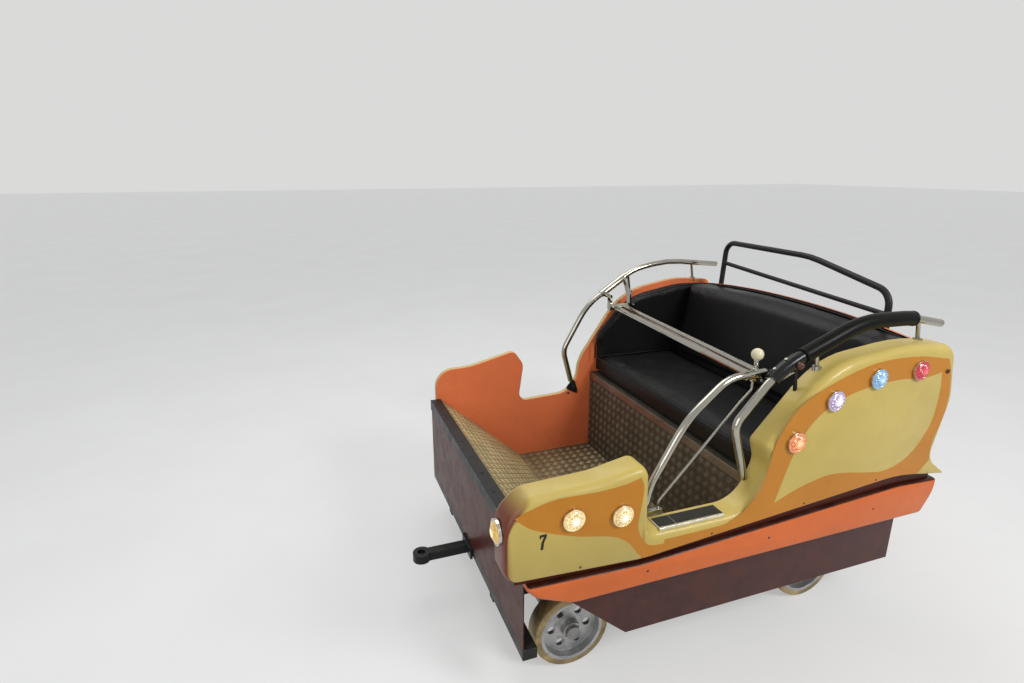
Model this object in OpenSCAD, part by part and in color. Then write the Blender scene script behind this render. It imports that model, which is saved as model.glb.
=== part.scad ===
// Ride car of an undulating circular track ride: a moulded open-sided car for two riders.
// +X points forward, +Y to the outer (boarding) side, +Z up. The origin is on the track,
// under the middle of the car. Profiles are given as stations behind datum_x and heights
// above the floor plate, so the same numbers serve the panels, the rails and the seats.

/* [Reference] */
// Distance from the origin forward to station zero
datum_x = 800; // [780:5:820]
// Height of the floor plate above the track
floor_z = 230; // [222:2:250]
// Half of the width between the side walls
half_width = 630; // [600:5:660]

/* [Outer panel] */
// Depth of the moulding from the side wall to its face
panel_depth = 85; // [70:5:95]
// Thickness of the moulded wall
panel_wall = 5; // [4:0.5:7]
// Depth over which the rim of the moulding rounds off
rim_depth = 30; // [20:2:36]
// Thickness of the side wall behind the moulding
liner_t = 6; // [4:1:8]
// Station of the front of the nose
nose_s = -58; // [-70:2:-46]
// Height of the scroll in front of the entry
scroll_h = 620; // [600:5:640]
// Height of the entry sill
sill_h = 389; // [375:2:400]
// Height of the crown beside the backrest
crown_h = 885; // [870:5:900]
// Station of the tip of the tail
tail_s = 1700; // [1680:2:1720]

/* [Inner panel] */
// Thickness of the inner side panel
inner_t = 28; // [20:2:36]
// Station of its front edge
inner_front_s = 58; // [50:2:70]
// Height of its scroll
inner_scroll_h = 568; // [550:2:590]
// Height of the dip behind the scroll
inner_dip_h = 307; // [290:2:320]

/* [Skirts] */
// Distance that the outer skirt sits inside the panel's face
skirt_inset = 25; // [20:1:35]
// Depth of the inner skirt outside the inner panel
inner_skirt_depth = 32; // [28:1:40]
// Thickness of the skirt moulding
skirt_wall = 5; // [4:0.5:6]
// Height of the lower edge of the skirts above the floor
skirt_low_h = 184; // [176:2:196]
// Thickness of the recessed band above the skirt
band_t = 6; // [4:1:8]

/* [Floor and seat] */
// Thickness of the tread plates
plate_t = 4; // [3:1:6]
// Side of the square beam across the front
beam_w = 50; // [40:2:56]
// Thickness of the beam's wall
beam_wall = 4; // [3:0.5:5]
// Station of the beam's rear face
beam_s = 80; // [76:1:90]
// Height of the beam's top
beam_h = 370; // [360:2:380]
// Station where the sloping foot board meets the floor
foot_s = 492; // [470:2:510]
// Station of the seat's front riser
seat_s = 893; // [880:1:905]
// Height of the seat pan
seat_h = 415; // [400:1:425]
// Height of the seat cushion
cushion_t = 92; // [80:2:100]
// Station of the backrest's rear
back_s = 1562; // [1550:1:1570]
// Depth of the backrest pad at the seat
back_pad_depth = 210; // [190:5:230]
// Height of the backrest's padded top
back_h = 884; // [875:1:895]
// Drop of the backrest's arched top at the side walls
arch_drop = 42; // [34:2:50]
// Thickness of the padding on the side walls
side_pad_t = 38; // [30:1:45]
// Thickness of the shell behind the backrest
shell_t = 6; // [4:1:8]
// Space kept round the soft parts
soft_gap = 0.4; // [0.3:0.1:1]

/* [Rails and gate] */
// Radius of the chromed grab rails
rail_r = 14; // [12:0.5:16]
// Distance of the rails outside the side walls
rail_out = 14; // [12:1:16]
// Radius of the posts under the rails
post_r = 7; // [6:0.5:9]
// Radius of the foam sleeve on the outer rail
foam_r = 26; // [22:1:30]
// Radius of the lap bar's tubes
bar_r = 12.5; // [11:0.5:14]
// Radius of the hinge pin
pin_r = 8; // [6:0.5:9]
// Running gap at pins and journals
running_gap = 0.05; // [0.02:0.01:0.09]
// Radius of the gate's thin rod
rod_r = 4; // [3:0.5:5]
// Radius of the ball knob
knob_r = 20; // [16:1:22]
// Drop of the gate's hinge below the crown
hinge_drop = 113; // [105:1:120]
// Drop of the lap bar's end fitting below the crown
fit_drop = 73; // [68:1:76]
// Height of the knob above the end fitting
knob_rise = 68; // [60:1:75]
// Radius of the black guard tube behind the seat
guard_r = 13; // [11:0.5:15]

/* [Lamps] */
// Radius of the side lamps
lamp_r = 35; // [30:1:38]
// Radius of the nose lamp
nose_lamp_r = 39; // [34:1:40]
// Height of a bezel over its panel
bezel_t = 10; // [8:1:12]
// Height of a lens dome over its bezel
dome_t = 12; // [9:1:14]

/* [Running gear] */
// Radius of the wheels
wheel_r = 140; // [130:2:150]
// Thickness of the tyre
tyre_t = 24; // [20:1:30]
// Width of the wheels
wheel_w = 70; // [60:2:76]
// Distance of the wheels from the middle of the car
wheel_y = 480; // [470:2:500]
// Radius of the axle beams
axle_r = 20; // [18:1:24]
// Radius of the wheel journals
journal_r = 15; // [13:0.5:16]
// Station of the front axle
front_axle_s = 260; // [250:5:280]
// Station of the rear axle
rear_axle_s = 1300; // [1280:5:1330]
// Distance of the chassis rails from the middle
chassis_y = 300; // [280:5:320]
// Width of a chassis rail
chassis_w = 40; // [36:1:50]
// Height of a chassis rail
chassis_h = 56; // [50:1:62]
// Distance from the origin to each coupling pin
coupling_x = 960; // [945:5:975]
// Radius of the coupling pin holes
coupling_r = 15; // [12:0.5:16]
// Outer radius of the coupling eye
eye_r = 35; // [30:1:38]
// Height of the coupling eye
eye_h = 36; // [30:1:40]
// Radius of the arm bracket's bolt holes
arm_hole_r = 7; // [6:0.5:8]
// Spacing of the bolt holes along the car
arm_pitch_x = 160; // [140:5:180]
// Spacing of the bolt holes up the bracket
arm_pitch_z = 60; // [50:2:70]

/* [Hidden] */
$fn = 48;
arc_sag = 0.5;
bend_step = 9;
tube_sides = 16;
face_y = half_width + panel_depth;
wall_y = half_width - liner_t;
skirt_y = face_y - skirt_inset;
rail_y = half_width + rail_out;
under_h = -plate_t;
board_low_h = under_h - 36;
fit_gap = 0.3;

// Columns of the profiles: station, height, corner radius, rim width of the edge that follows.
// They run along the bottom to the rear, up, and forward again along the top.
OUTER = [
    [nose_s, 330, 44, 8], [398, 305, 420, 8], [1440, 392, 600, 8],
    [tail_s, 354, 5, 10], [tail_s - 116, 438, 70, 10], [tail_s - 64, crown_h - 217, 160, 10],
    [tail_s - 102, crown_h - 17, 46, 30], [1400, crown_h + 6, 700, 30], [1060, crown_h - 30, 330, 30],
    [826, sill_h + 214, 26, 30], [849, sill_h + 140, 60, 30], [792, sill_h, 125, 30],
    [405, sill_h, 34, 12], [396, scroll_h + 8, 34, 30], [235, scroll_h - 23, 300, 30],
    [8, scroll_h - 32, 80, 30], [nose_s, scroll_h - 95, 90, 10]];
INNER = [
    [400, board_low_h, 60, 0], [back_s + 34, board_low_h, 5, 0],
    [back_s + 52, crown_h - 185, 200, 0],
    [back_s + 40, crown_h - 18, 34, 0], [1385, crown_h + 4, 500, 0],
    [1060, crown_h - 50, 330, 0],
    [822, crown_h - 400, 200, 0], [812, inner_dip_h + 10, 120, 0], [487, inner_dip_h - 4, 38, 0],
    [515, inner_scroll_h - 70, 60, 0], [462, inner_scroll_h + 6, 34, 0],
    [235, inner_scroll_h - 50, 300, 0], [inner_front_s, inner_scroll_h - 55, 90, 0],
    [inner_front_s, 258, 20, 0]];
SKIRT = [
    [170, skirt_low_h, 140, 14], [1640, skirt_low_h, 20, 14], [1694, 272, 120, 14],
    [1693, 322, 6, 14], [1490, 331, 500, 14], [400, 268, 900, 14],
    [6, 283, 12, 14], [54, 232, 70, 14]];
INNER_SKIRT = [
    [inner_front_s + 165, skirt_low_h, 140, 12], [1572, skirt_low_h, 12, 12],
    [1590, 300, 8, 12], [inner_front_s + 1, 284, 8, 14],
    [inner_front_s + 48, 234, 70, 14]];
SIDE_PAD = [
    [seat_s + 6, seat_h + soft_gap, 8, 0], [back_s, seat_h + soft_gap, 4, 0],
    [back_s, crown_h - 36, 30, 0], [1385, crown_h - 28, 500, 0], [1085, crown_h - 78, 330, 0],
    [seat_s + 2, 600, 120, 0]];
BACK_PAD = [
    [back_s - back_pad_depth, seat_h + soft_gap, 6, 0], [back_s, seat_h + soft_gap, 6, 0],
    [back_s, back_h + 4, 12, 0], [back_s - 122, back_h + 6, 84, 0]];

// Rails: station, height, bend radius. The posts' feet seat on the panels' edges.
OUTER_RAIL = [[806, sill_h + 81, 0], [744, crown_h - 217, 60], [900, crown_h - 45, 300],
    [1230, crown_h + 83, 420], [1450, crown_h + 77, 500], [1600, crown_h + 45, 0]];
INNER_RAIL = [[786, inner_dip_h + 65, 0], [738, crown_h - 340, 90], [868, crown_h - 110, 300],
    [1130, crown_h + 60, 300], [1330, crown_h + 95, 600], [1648, crown_h + 61, 0]];
foam_from = 985;
foam_to = 1462;
outer_posts = [1055, 1500];
inner_posts = [1112, 1500];
post_sink = 14;

// Lap bar, gate tube and guard: station, distance outwards from the middle, height, bend radius
hinge_y = -half_width + 62;
hinge_h = crown_h - hinge_drop;
hinge_from = 962;
hinge_to = 1062;
fit_y = half_width - 36;
fit_h = crown_h - fit_drop;
fit_r = 15;
fit_from = 812;
fit_to = 890;
lap_front_s = 830;
lap_rear_s = 872;
knob_s = 850;
knob_h = fit_h + knob_rise;
pin_s = 843;
LAP_FRONT = [[hinge_from + 23, hinge_y + 10, hinge_h, 0], [lap_front_s, fit_y, fit_h, 0]];
LAP_REAR = [[hinge_to - 24, hinge_y + 10, hinge_h, 0], [lap_rear_s, fit_y, fit_h, 0]];
gate_y = half_width - 11;
foot_top_h = sill_h + 17;
foot_from = 438;
foot_to = 510;
GATE = [[foot_from + 8, gate_y, foot_top_h - 4, 0], [466, gate_y - 1, sill_h + 111, 150],
    [590, gate_y - 9, fit_h - 112, 300], [748, fit_y, fit_h, 150], [fit_from, fit_y, fit_h, 0]];
ROD = [[foot_to - 10, gate_y - 3, foot_top_h, 0],
    [foot_to - 10, gate_y - 3, foot_top_h + 24, 20],
    [800, fit_y, fit_h - 92, 60], [pin_s, fit_y, fit_h - 52, 15],
    [pin_s, fit_y, fit_h - fit_r - 8, 0]];
deck_h = back_h - 48;
rim_h = back_h + 8;
shell_s = back_s + 10;
guard_s = back_s + 27;
guard_h = back_h - 20;
guard_in_y = -half_width + 115;
guard_out_y = half_width - 178;
GUARD = [[guard_s, guard_in_y, deck_h + 2, 0],
    [guard_s + 8, guard_in_y + 9, guard_h + 218, 60], [guard_s + 8, 40, guard_h + 218, 500],
    [guard_s + 8, guard_out_y - 12, guard_h + 136, 70], [guard_s, guard_out_y, deck_h + 2, 0]];
GUARD_LOW = [[guard_s + 4, guard_in_y + 6, guard_h + 111, 0], [guard_s + 4, 0, guard_h + 80, 900],
    [guard_s + 4, guard_out_y - 7, guard_h + 50, 0]];

// Side lamps: station, height, kind of lens (0 warm, 1 orange, 2 white, 3 blue, 4 red)
LAMPS = [[149, scroll_h - 118, 0], [308, scroll_h - 139, 0], [932, crown_h - 273, 1],
    [1072, crown_h - 149, 2], [1248, crown_h - 95, 3], [1439, crown_h - 88, 4]];
nose_lamp_h = scroll_h - 145;
rear_lamp_h = [crown_h - 195, crown_h - 295];

function unit(v) = v / norm(v);
function left(v) = [-v[1], v[0]];
function cross2(a, b) = a[0] * b[1] - a[1] * b[0];
function turn(a, s) = [a[0] * cos(s) - a[1] * sin(s), a[0] * sin(s) + a[1] * cos(s)];

// Inset of a profile's edge: a plain wall plus a share k of its rim
function edge_inset(row, wall, k) = wall + k * max(row[3] - wall, 0);

// Rounded corner i of a profile whose edges are moved inwards
function corner_arc(t, i, wall, k) = let(
    n = len(t),
    a = t[(i + n - 1) % n],
    b = t[i],
    c = t[(i + 1) % n],
    u = unit([b[0] - a[0], b[1] - a[1]]),
    v = unit([c[0] - b[0], c[1] - b[1]]),
    da = edge_inset(a, wall, k),
    db = edge_inset(b, wall, k),
    bend = cross2(u, v),
    side = bend > 0 ? 1 : -1,
    shift = left(v) * db - left(u) * da,
    p = [b[0], b[1]] + left(u) * da + u * (cross2(shift, v) / bend),
    angle = abs(asin(max(-1, min(1, bend)))),
    full = u * v < 0 ? 180 - angle : angle,
    r = max(b[2] - side * (da + db) / 2, 1),
    step = min(15, 2 * acos(1 - arc_sag / max(b[2], 5))),
    steps = max(2, ceil(full / step)),
    start = p - u * (r * tan(full / 2)),
    centre = start + left(u) * (side * r))
    [for (j = [0:steps]) centre + turn(start - centre, side * full * j / steps)];
function ring(t, wall = 0, k = 0) = [for (i = [0:len(t) - 1]) each corner_arc(t, i, wall, k)];
function place(p) = [datum_x - p[0], floor_z + p[1]];

// Heights and stations where a profile crosses a station or a height
function heights(r, s) = [for (i = [0:len(r) - 1]) let(a = r[i], b = r[(i + 1) % len(r)])
    if ((a[0] - s) * (b[0] - s) <= 0 && a[0] != b[0])
        a[1] + (b[1] - a[1]) * (s - a[0]) / (b[0] - a[0])];
function stations(r, h) = [for (i = [0:len(r) - 1]) let(a = r[i], b = r[(i + 1) % len(r)])
    if ((a[1] - h) * (b[1] - h) <= 0 && a[1] != b[1])
        a[0] + (b[0] - a[0]) * (h - a[1]) / (b[1] - a[1])];
function height_at(r, s) = max(heights(r, s));
function station_at(r, h) = max(stations(r, h));

// Triangles that fill an outline whose points run anticlockwise, cut off ear by ear
function is_ear(p, left, k) = let(
    n = len(left),
    a = p[left[(k + n - 1) % n]],
    b = p[left[k]],
    c = p[left[(k + 1) % n]])
    cross2(b - a, c - b) > 0
    && len([for (i = [2:n - 2]) let(q = p[left[(k + i) % n]])
        if (cross2(b - a, q - a) >= 0 && cross2(c - b, q - b) >= 0
            && cross2(a - c, q - c) >= 0) i]) == 0;
function next_ear(p, left, k) = is_ear(p, left, k) ? k : next_ear(p, left, k + 1);
function ears(p, left) = let(n = len(left)) n == 3 ? [left] : let(k = next_ear(p, left, 0))
    concat([[left[(k + n - 1) % n], left[k], left[(k + 1) % n]]],
        ears(p, [for (i = [0:n - 1]) if (i != k) left[i]]));

outer_edge = ring(OUTER);
inner_edge = ring(INNER);

// Flat plate of a profile between two distances from the middle
module slab(r, y0, y1) {
    translate([0, y1, 0]) rotate([90, 0, 0])
        linear_extrude(y1 - y0) polygon([for (p = r) place(p)]);
}

// Moulded tray: a wall that follows the profile, a rounded rim and a face, open behind.
// flip is 1 for a face on the outer side and -1 for one on the inner side.
module moulding(t, y0, y1, wall, rim, flip = 1) {
    rim_y = y1 - flip * rim;
    lift = [for (a = [0:22.5:90]) a];
    outer = concat([[0, y0]], [for (a = lift) [1 - cos(a), rim_y + flip * rim * sin(a)]]);
    inner = [for (a = [90, 45, 0]) [1 - cos(a), rim_y + flip * (rim - wall) * sin(a)]];
    levels = concat([for (l = outer) [0, l[0], l[1]]], [for (l = inner) [wall, l[0], l[1]]],
        [[wall, 0, y0]]);
    rings = [for (l = levels) [for (p = ring(t, l[0], l[1]))
        [place(p)[0], l[2], place(p)[1]]]];
    n = len(rings[0]);
    m = len(levels);
    cap_a = len(outer) - 1;
    cap_b = cap_a + 1;
    function quad(a, b, i) = let(j = (i + 1) % n)
        flip > 0 ? [[a * n + i, b * n + i, b * n + j], [a * n + i, b * n + j, a * n + j]]
        : [[a * n + i, b * n + j, b * n + i], [a * n + i, a * n + j, b * n + j]];
    sides = [for (l = [0:m - 1]) if (l != cap_a) for (i = [0:n - 1])
        each quad(l, (l + 1) % m, i)];
    up = ears(ring(t, 0, 1), [for (i = [0:n - 1]) i]);
    down = [for (e = up) [e[2], e[1], e[0]]];
    face = [for (e = flip > 0 ? down : up) [for (i = e) cap_a * n + i]];
    back = [for (e = flip > 0 ? up : down) [for (i = e) cap_b * n + i]];
    polyhedron([for (r = rings) each r], concat(sides, face, back));
}

// Direction of a cylinder laid from a to b
module along(a, b) {
    d = b - a;
    translate(a) rotate([0, acos(d[2] / norm(d)), atan2(d[1], d[0])]) children();
}
module rod(a, b, r) {
    along(a, b) cylinder(r = r, h = norm(b - a));
}

// Points along a path with rounded corners. p rows: [point, bend radius]
function bend_points(p, i) = let(
    u = unit(p[i][0] - p[i - 1][0]),
    v = unit(p[i + 1][0] - p[i][0]),
    full = acos(max(-1, min(1, u * v))),
    steps = max(1, ceil(full / bend_step)),
    start = p[i][0] - u * (p[i][1] * tan(full / 2)),
    inward = cross(unit(cross(u, v)), u))
    full < 1 ? [p[i][0]] : [for (j = [0:steps]) let(a = full * j / steps)
        start + inward * (p[i][1] * (1 - cos(a))) + u * (p[i][1] * sin(a))];
function bent(p) = concat([p[0][0]], [for (i = [1:1:len(p) - 2]) each bend_points(p, i)],
    [p[len(p) - 1][0]]);
function tangents(q) = [for (i = [0:len(q) - 1])
    unit((i < len(q) - 1 ? unit(q[i + 1] - q[i]) : [0, 0, 0])
        + (i > 0 ? unit(q[i] - q[i - 1]) : [0, 0, 0]))];
function carried(t, n, i) = i >= len(t) ? [] : let(m = unit(n - t[i] * (n * t[i])))
    concat([m], carried(t, m, i + 1));

// Round bar, or a sleeve when it has a hole, along a list of points
module sweep(q, r, hole = 0) {
    t = tangents(q);
    across = abs(t[0][1]) > 0.7 ? [0, 0, 1] : [0, 1, 0];
    nrm = carried(t, across, 0);
    last = len(q) - 1;
    function circle_at(i, radius) = [for (k = [0:tube_sides - 1]) let(a = 360 * k / tube_sides)
        q[i] + nrm[i] * (radius * cos(a)) + cross(t[i], nrm[i]) * (radius * sin(a))];
    rings = concat([for (i = [0:last]) circle_at(i, r)],
        hole > 0 ? [for (i = [last:-1:0]) circle_at(i, hole)] : []);
    m = len(rings);
    n = tube_sides;
    sides = [for (l = [0:hole > 0 ? m - 1 : m - 2]) for (k = [0:n - 1]) let(j = (k + 1) % n,
        a = l * n, b = ((l + 1) % m) * n) each [[a + k, b + k, b + j], [a + k, b + j, a + j]]];
    caps = hole > 0 ? [] : [[for (k = [0:n - 1]) k], [for (k = [0:n - 1]) last * n + n - 1 - k]];
    polyhedron([for (g = rings) each g], concat(sides, caps));
}
function at(s, y, h) = [datum_x - s, y, floor_z + h];
function flat_path(t, y) = [for (q = t) [at(q[0], y, q[1]), q[2]]];
function path(t) = [for (q = t) [at(q[0], q[1], q[2]), q[3]]];

// Box between stations, distances from the middle and heights
module block(s0, s1, y0, y1, h0, h1) {
    translate([datum_x - s1, y0, floor_z + h0]) cube([s1 - s0, y1 - y0, h1 - h0]);
}

cross_stations = [[34, 84], [615, 665], [seat_s + plate_t, seat_s + plate_t + 50],
    [back_s - 24, back_s + 26]];
module chassis_frame() color("#2a2a2c") {
    for (side = [-1, 1])
        block(cross_stations[0][0], cross_stations[3][1],
            side * chassis_y - chassis_w / 2, side * chassis_y + chassis_w / 2,
            under_h - chassis_h, under_h);
    for (c = cross_stations)
        block(c[0], c[1], -half_width, wall_y, under_h - 40, under_h);
}

shoulder_y = wheel_y - wheel_w / 2 - 0.5;
collar_y = wheel_y + wheel_w / 2 + 0.5;
module axle(s) color("#3a3a3c") {
    x = datum_x - s;
    translate([x, 0, wheel_r]) rotate([90, 0, 0]) {
        cylinder(r = axle_r, h = 2 * shoulder_y, center = true);
        cylinder(r = journal_r, h = 2 * collar_y, center = true);
        for (side = [-1, 1]) translate([0, 0, side * (collar_y + 6)])
            cylinder(r = journal_r + 10, h = 12, center = true);
    }
    for (side = [-1, 1]) translate([x - 45, side * chassis_y - chassis_w / 2, wheel_r - axle_r - 6])
        cube([90, chassis_w, floor_z + under_h - chassis_h - (wheel_r - axle_r - 6)]);
}
module front_axle() axle(front_axle_s);
module rear_axle() axle(rear_axle_s);

rim_r = wheel_r - tyre_t;
// Wheel centre: hub, dished web with round windows, and the band that holds the tyre
module wheel_rim(s, side) color("#8d8f92")
    translate([datum_x - s, side * wheel_y, wheel_r]) rotate([90, 0, 0]) difference() {
        rotate_extrude($fn = 72) polygon([
            [journal_r + running_gap, -wheel_w / 2], [journal_r + 18, -wheel_w / 2],
            [journal_r + 20, -8], [rim_r - 18, -8], [rim_r - 12, -wheel_w / 2],
            [rim_r, -wheel_w / 2], [rim_r, wheel_w / 2], [rim_r - 12, wheel_w / 2],
            [rim_r - 18, 8], [journal_r + 20, 8], [journal_r + 18, wheel_w / 2],
            [journal_r + running_gap, wheel_w / 2]]);
        for (k = [0:5]) rotate([0, 0, 60 * k]) translate([(journal_r + rim_r) / 2 + 2, 0, 0])
            cylinder(r = 15, h = wheel_w, center = true);
    }
module wheel_tyre(s, side) color("#c9b98a")
    translate([datum_x - s, side * wheel_y, wheel_r]) rotate([90, 0, 0])
        rotate_extrude($fn = 72) polygon([
            [rim_r, -wheel_w / 2], [wheel_r - 9, -wheel_w / 2], [wheel_r - 2.5, -wheel_w / 2 + 3],
            [wheel_r, -wheel_w / 2 + 10], [wheel_r, wheel_w / 2 - 10],
            [wheel_r - 2.5, wheel_w / 2 - 3], [wheel_r - 9, wheel_w / 2], [rim_r, wheel_w / 2]]);

coupling_z = floor_z + under_h - chassis_h / 2;
module drawbar() color("#2a2a2c") difference() {
    union() {
        translate([coupling_x, 0, coupling_z]) cylinder(r = eye_r, h = eye_h, center = true);
        translate([datum_x - cross_stations[0][0], -20, coupling_z - eye_h / 2])
            cube([coupling_x - datum_x + cross_stations[0][0], 40, eye_h]);
        translate([datum_x - cross_stations[0][0], -60, coupling_z - 24]) cube([10, 120, 48]);
    }
    translate([coupling_x, 0, coupling_z]) cylinder(r = coupling_r, h = 100, center = true);
}
fork_gap = 8;
ear_t = 14;
module rear_clevis() color("#2a2a2c") difference() {
    rear_x = datum_x - cross_stations[3][1];
    union() {
        for (side = [-1, 1]) translate([0, 0, coupling_z + side * (eye_h + fork_gap + ear_t) / 2]) {
            translate([-coupling_x, 0, 0]) cylinder(r = eye_r, h = ear_t, center = true);
            translate([-coupling_x, -eye_r, -ear_t / 2])
                cube([coupling_x + rear_x, 2 * eye_r, ear_t]);
        }
        translate([rear_x - 60, -eye_r, coupling_z - (eye_h + fork_gap) / 2])
            cube([60, 2 * eye_r, eye_h + fork_gap]);
    }
    translate([-coupling_x, 0, coupling_z]) cylinder(r = coupling_r, h = 200, center = true);
}

arm_s = 780;
arm_face_y = face_y + bezel_t + dome_t;
module arm_bracket() color("#2a2a2c") {
    arm_x = datum_x - arm_s;
    skin_y = half_width + inner_t;
    difference() {
        translate([arm_x - 110, -arm_face_y, 150]) cube([220, 12, 110]);
        for (i = [-1, 1], j = [-1, 1])
            translate([arm_x + i * arm_pitch_x / 2, -arm_face_y - 1, 205 + j * arm_pitch_z / 2])
                rotate([-90, 0, 0]) cylinder(r = arm_hole_r, h = 14);
    }
    translate([arm_x - 50, 12 - arm_face_y, 190]) cube([100, arm_face_y - 12 - skin_y, 30]);
}

module floor_plate() color("#8c8460")
    block(foot_s, seat_s + plate_t + 50, -half_width, wall_y, under_h, 0);

module foot_board() color("#8c8460") {
    top_h = beam_h - 5;
    slope = top_h / (foot_s - beam_s);
    drop = plate_t / cos(atan(slope));
    toe_s = foot_s - (drop - plate_t) / slope;
    slab([[beam_s, top_h - drop], [toe_s, under_h], [foot_s, under_h], [foot_s, 0],
        [beam_s, top_h]], -half_width, wall_y);
}

module front_beam() color("#1e1e20") difference() {
    block(beam_s - beam_w, beam_s, -half_width, wall_y, beam_h - beam_w, beam_h);
    block(beam_s - beam_w + beam_wall, beam_s - beam_wall, -half_width - 1, wall_y + 1,
        beam_h - beam_w + beam_wall, beam_h - beam_wall);
}
module front_panel() color("#3a1416")
    block(cross_stations[0][0], cross_stations[0][0] + plate_t, -half_width, wall_y,
        under_h, beam_h - beam_w);

module outer_panel() color("#d8c880")
    moulding(OUTER, half_width, face_y, panel_wall, rim_depth);

module outer_liner() color("#e8814f") {
    slab(ring([for (q = OUTER) [q[0], q[1], q[2], 2]], 0, 1), wall_y, half_width);
    slab([[400, board_low_h], [back_s + 26, board_low_h], [back_s + 26, sill_h + 40],
        [900, sill_h + 40], [850, sill_h - 10], [30, sill_h - 10], [30, 258], [60, 258]],
        wall_y, half_width);
}
module inner_panel() color("#e8814f")
    slab(inner_edge, -half_width - inner_t, -half_width);

module outer_skirt() color("#dd6f3e")
    moulding(SKIRT, half_width, skirt_y, skirt_wall, 16);
module inner_skirt() color("#dd6f3e")
    moulding(INNER_SKIRT, -half_width - inner_t, -half_width - inner_t - inner_skirt_depth,
        skirt_wall, 12, -1);

// Recessed band between the skirt's top and the panel's bottom edge
module waist_band() color("#4a1618") {
    from_s = nose_s + 46;
    to_s = tail_s - 32;
    skirt_edge = ring(SKIRT);
    skirt_top = [for (p = skirt_edge) if (p[0] > 50 && p[0] < to_s
        && p[1] > height_at(skirt_edge, p[0]) - 0.01) p];
    low = concat([[50, height_at(skirt_edge, 50)]],
        [for (i = [len(skirt_top) - 1:-1:0]) skirt_top[i]], [[to_s, height_at(skirt_edge, to_s)]]);
    edge = [for (p = outer_edge) if (p[0] > from_s && p[0] < to_s
        && p[1] < min(heights(outer_edge, p[0])) + 0.01) p];
    top = concat([[from_s, min(heights(outer_edge, from_s))]], edge,
        [[to_s, min(heights(outer_edge, to_s))]]);
    slab(concat([[from_s, low[0][1] + 6]], [for (p = low) p + [0, fit_gap]],
        [for (i = [len(top) - 1:-1:0]) top[i] - [0, fit_gap]]),
        skirt_y - 26, skirt_y - 26 + band_t);
}

module seat_box() color("#8c8460") {
    block(seat_s, seat_s + plate_t, -half_width, wall_y, 0, seat_h);
    block(seat_s + plate_t, back_s, -half_width, wall_y, seat_h - plate_t, seat_h);
}
module seat_edge() color("#b0a89c") {
    block(seat_s - 3, seat_s, -half_width, wall_y, seat_h - 34, seat_h);
}
cushion_r = 42;
module seat_cushion() color("#141414")
    slab(ring([[seat_s + 2, seat_h + soft_gap, 10, 0],
        [back_s - back_pad_depth - soft_gap, seat_h + soft_gap, 6, 0],
        [back_s - back_pad_depth + 8, seat_h + cushion_t, 14, 0],
        [seat_s + 2, seat_h + cushion_t + 8, cushion_r, 0]]),
        -half_width + side_pad_t + soft_gap, wall_y - side_pad_t - soft_gap);
// Outline across the car with an arched top, between two widths and above a height
function arch_h(y) = rim_h - arch_drop * pow(abs(y) / half_width, 2.2);
function arch(y0, y1, low, sink) = concat([[y0, low], [y1, low]],
    [for (i = [16:-1:0]) let(y = y0 + (y1 - y0) * i / 16) [y, arch_h(y) - sink]]);
function lip(y0, y1) = concat([for (i = [0:16]) let(y = y0 + (y1 - y0) * i / 16) [y, arch_h(y) - 10]],
    [for (i = [16:-1:0]) let(y = y0 + (y1 - y0) * i / 16) [y, arch_h(y)]]);
module across(s0, s1, outline) {
    translate([datum_x - s1, 0, floor_z]) rotate([90, 0, 90]) linear_extrude(s1 - s0)
        polygon(outline);
}
module backrest_pad() color("#141414") {
    inner_y = -half_width + side_pad_t + soft_gap;
    outer_y = wall_y - side_pad_t - soft_gap;
    intersection() {
        slab(ring(BACK_PAD), inner_y, outer_y);
        across(seat_s, back_s + 1, arch(inner_y, outer_y, 0, 4));
    }
}
module side_pads() color("#141414") {
    slab(ring(SIDE_PAD), wall_y - side_pad_t, wall_y - soft_gap);
    slab(ring(SIDE_PAD), -half_width + soft_gap, -half_width + side_pad_t);
}
deck_s = back_s + 44;
module backrest_shell() color("#e8814f") {
    across(shell_s - shell_t, shell_s, arch(-half_width, wall_y, under_h, 0));
    across(back_s + soft_gap, shell_s + 2, lip(-half_width, wall_y));
    translate([0, 0, floor_z + deck_h - shell_t]) linear_extrude(shell_t) polygon([
        [datum_x - shell_s + 1, half_width - 90], [datum_x - shell_s + 1, -half_width],
        [datum_x - deck_s, -half_width], [datum_x - deck_s, half_width - 170],
        [datum_x - shell_s, half_width - 90]]);
}

module rear_guard() color("#161616") {
    sweep(bent(path(GUARD)), guard_r);
    sweep(bent(path(GUARD_LOW)), guard_r - 3);
    for (g = [GUARD[0], GUARD[len(GUARD) - 1]])
        translate(at(g[0], g[1], deck_h)) cylinder(r = guard_r + 3, h = 6);
}

tread_from = 452;
tread_to = 694;
module sill_tread() color("#9a9a94") {
    block(tread_from, tread_to, half_width + 14, face_y - 14, sill_h, sill_h + 5);
    block(tread_from, tread_to, face_y - 14, face_y - 12, sill_h - 4, sill_h + 5);
}

outer_line = bent(flat_path(OUTER_RAIL, rail_y));
inner_line = bent(flat_path(INNER_RAIL, -rail_y));
function station(p) = datum_x - p[0];
function crossing(a, b, s) = (station(a) - s) * (station(b) - s) <= 0
    && station(a) != station(b);
function between(a, b, s) = a + (b - a) * ((s - station(a)) / (station(b) - station(a)));
// Highest point of a rail at a station
function rail_point(line, s) = let(
    hits = [for (i = [0:len(line) - 2]) if (crossing(line[i], line[i + 1], s))
        between(line[i], line[i + 1], s)],
    top = max([for (h = hits) h[2]]))
    [for (h = hits) if (h[2] == top) h][0];
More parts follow.
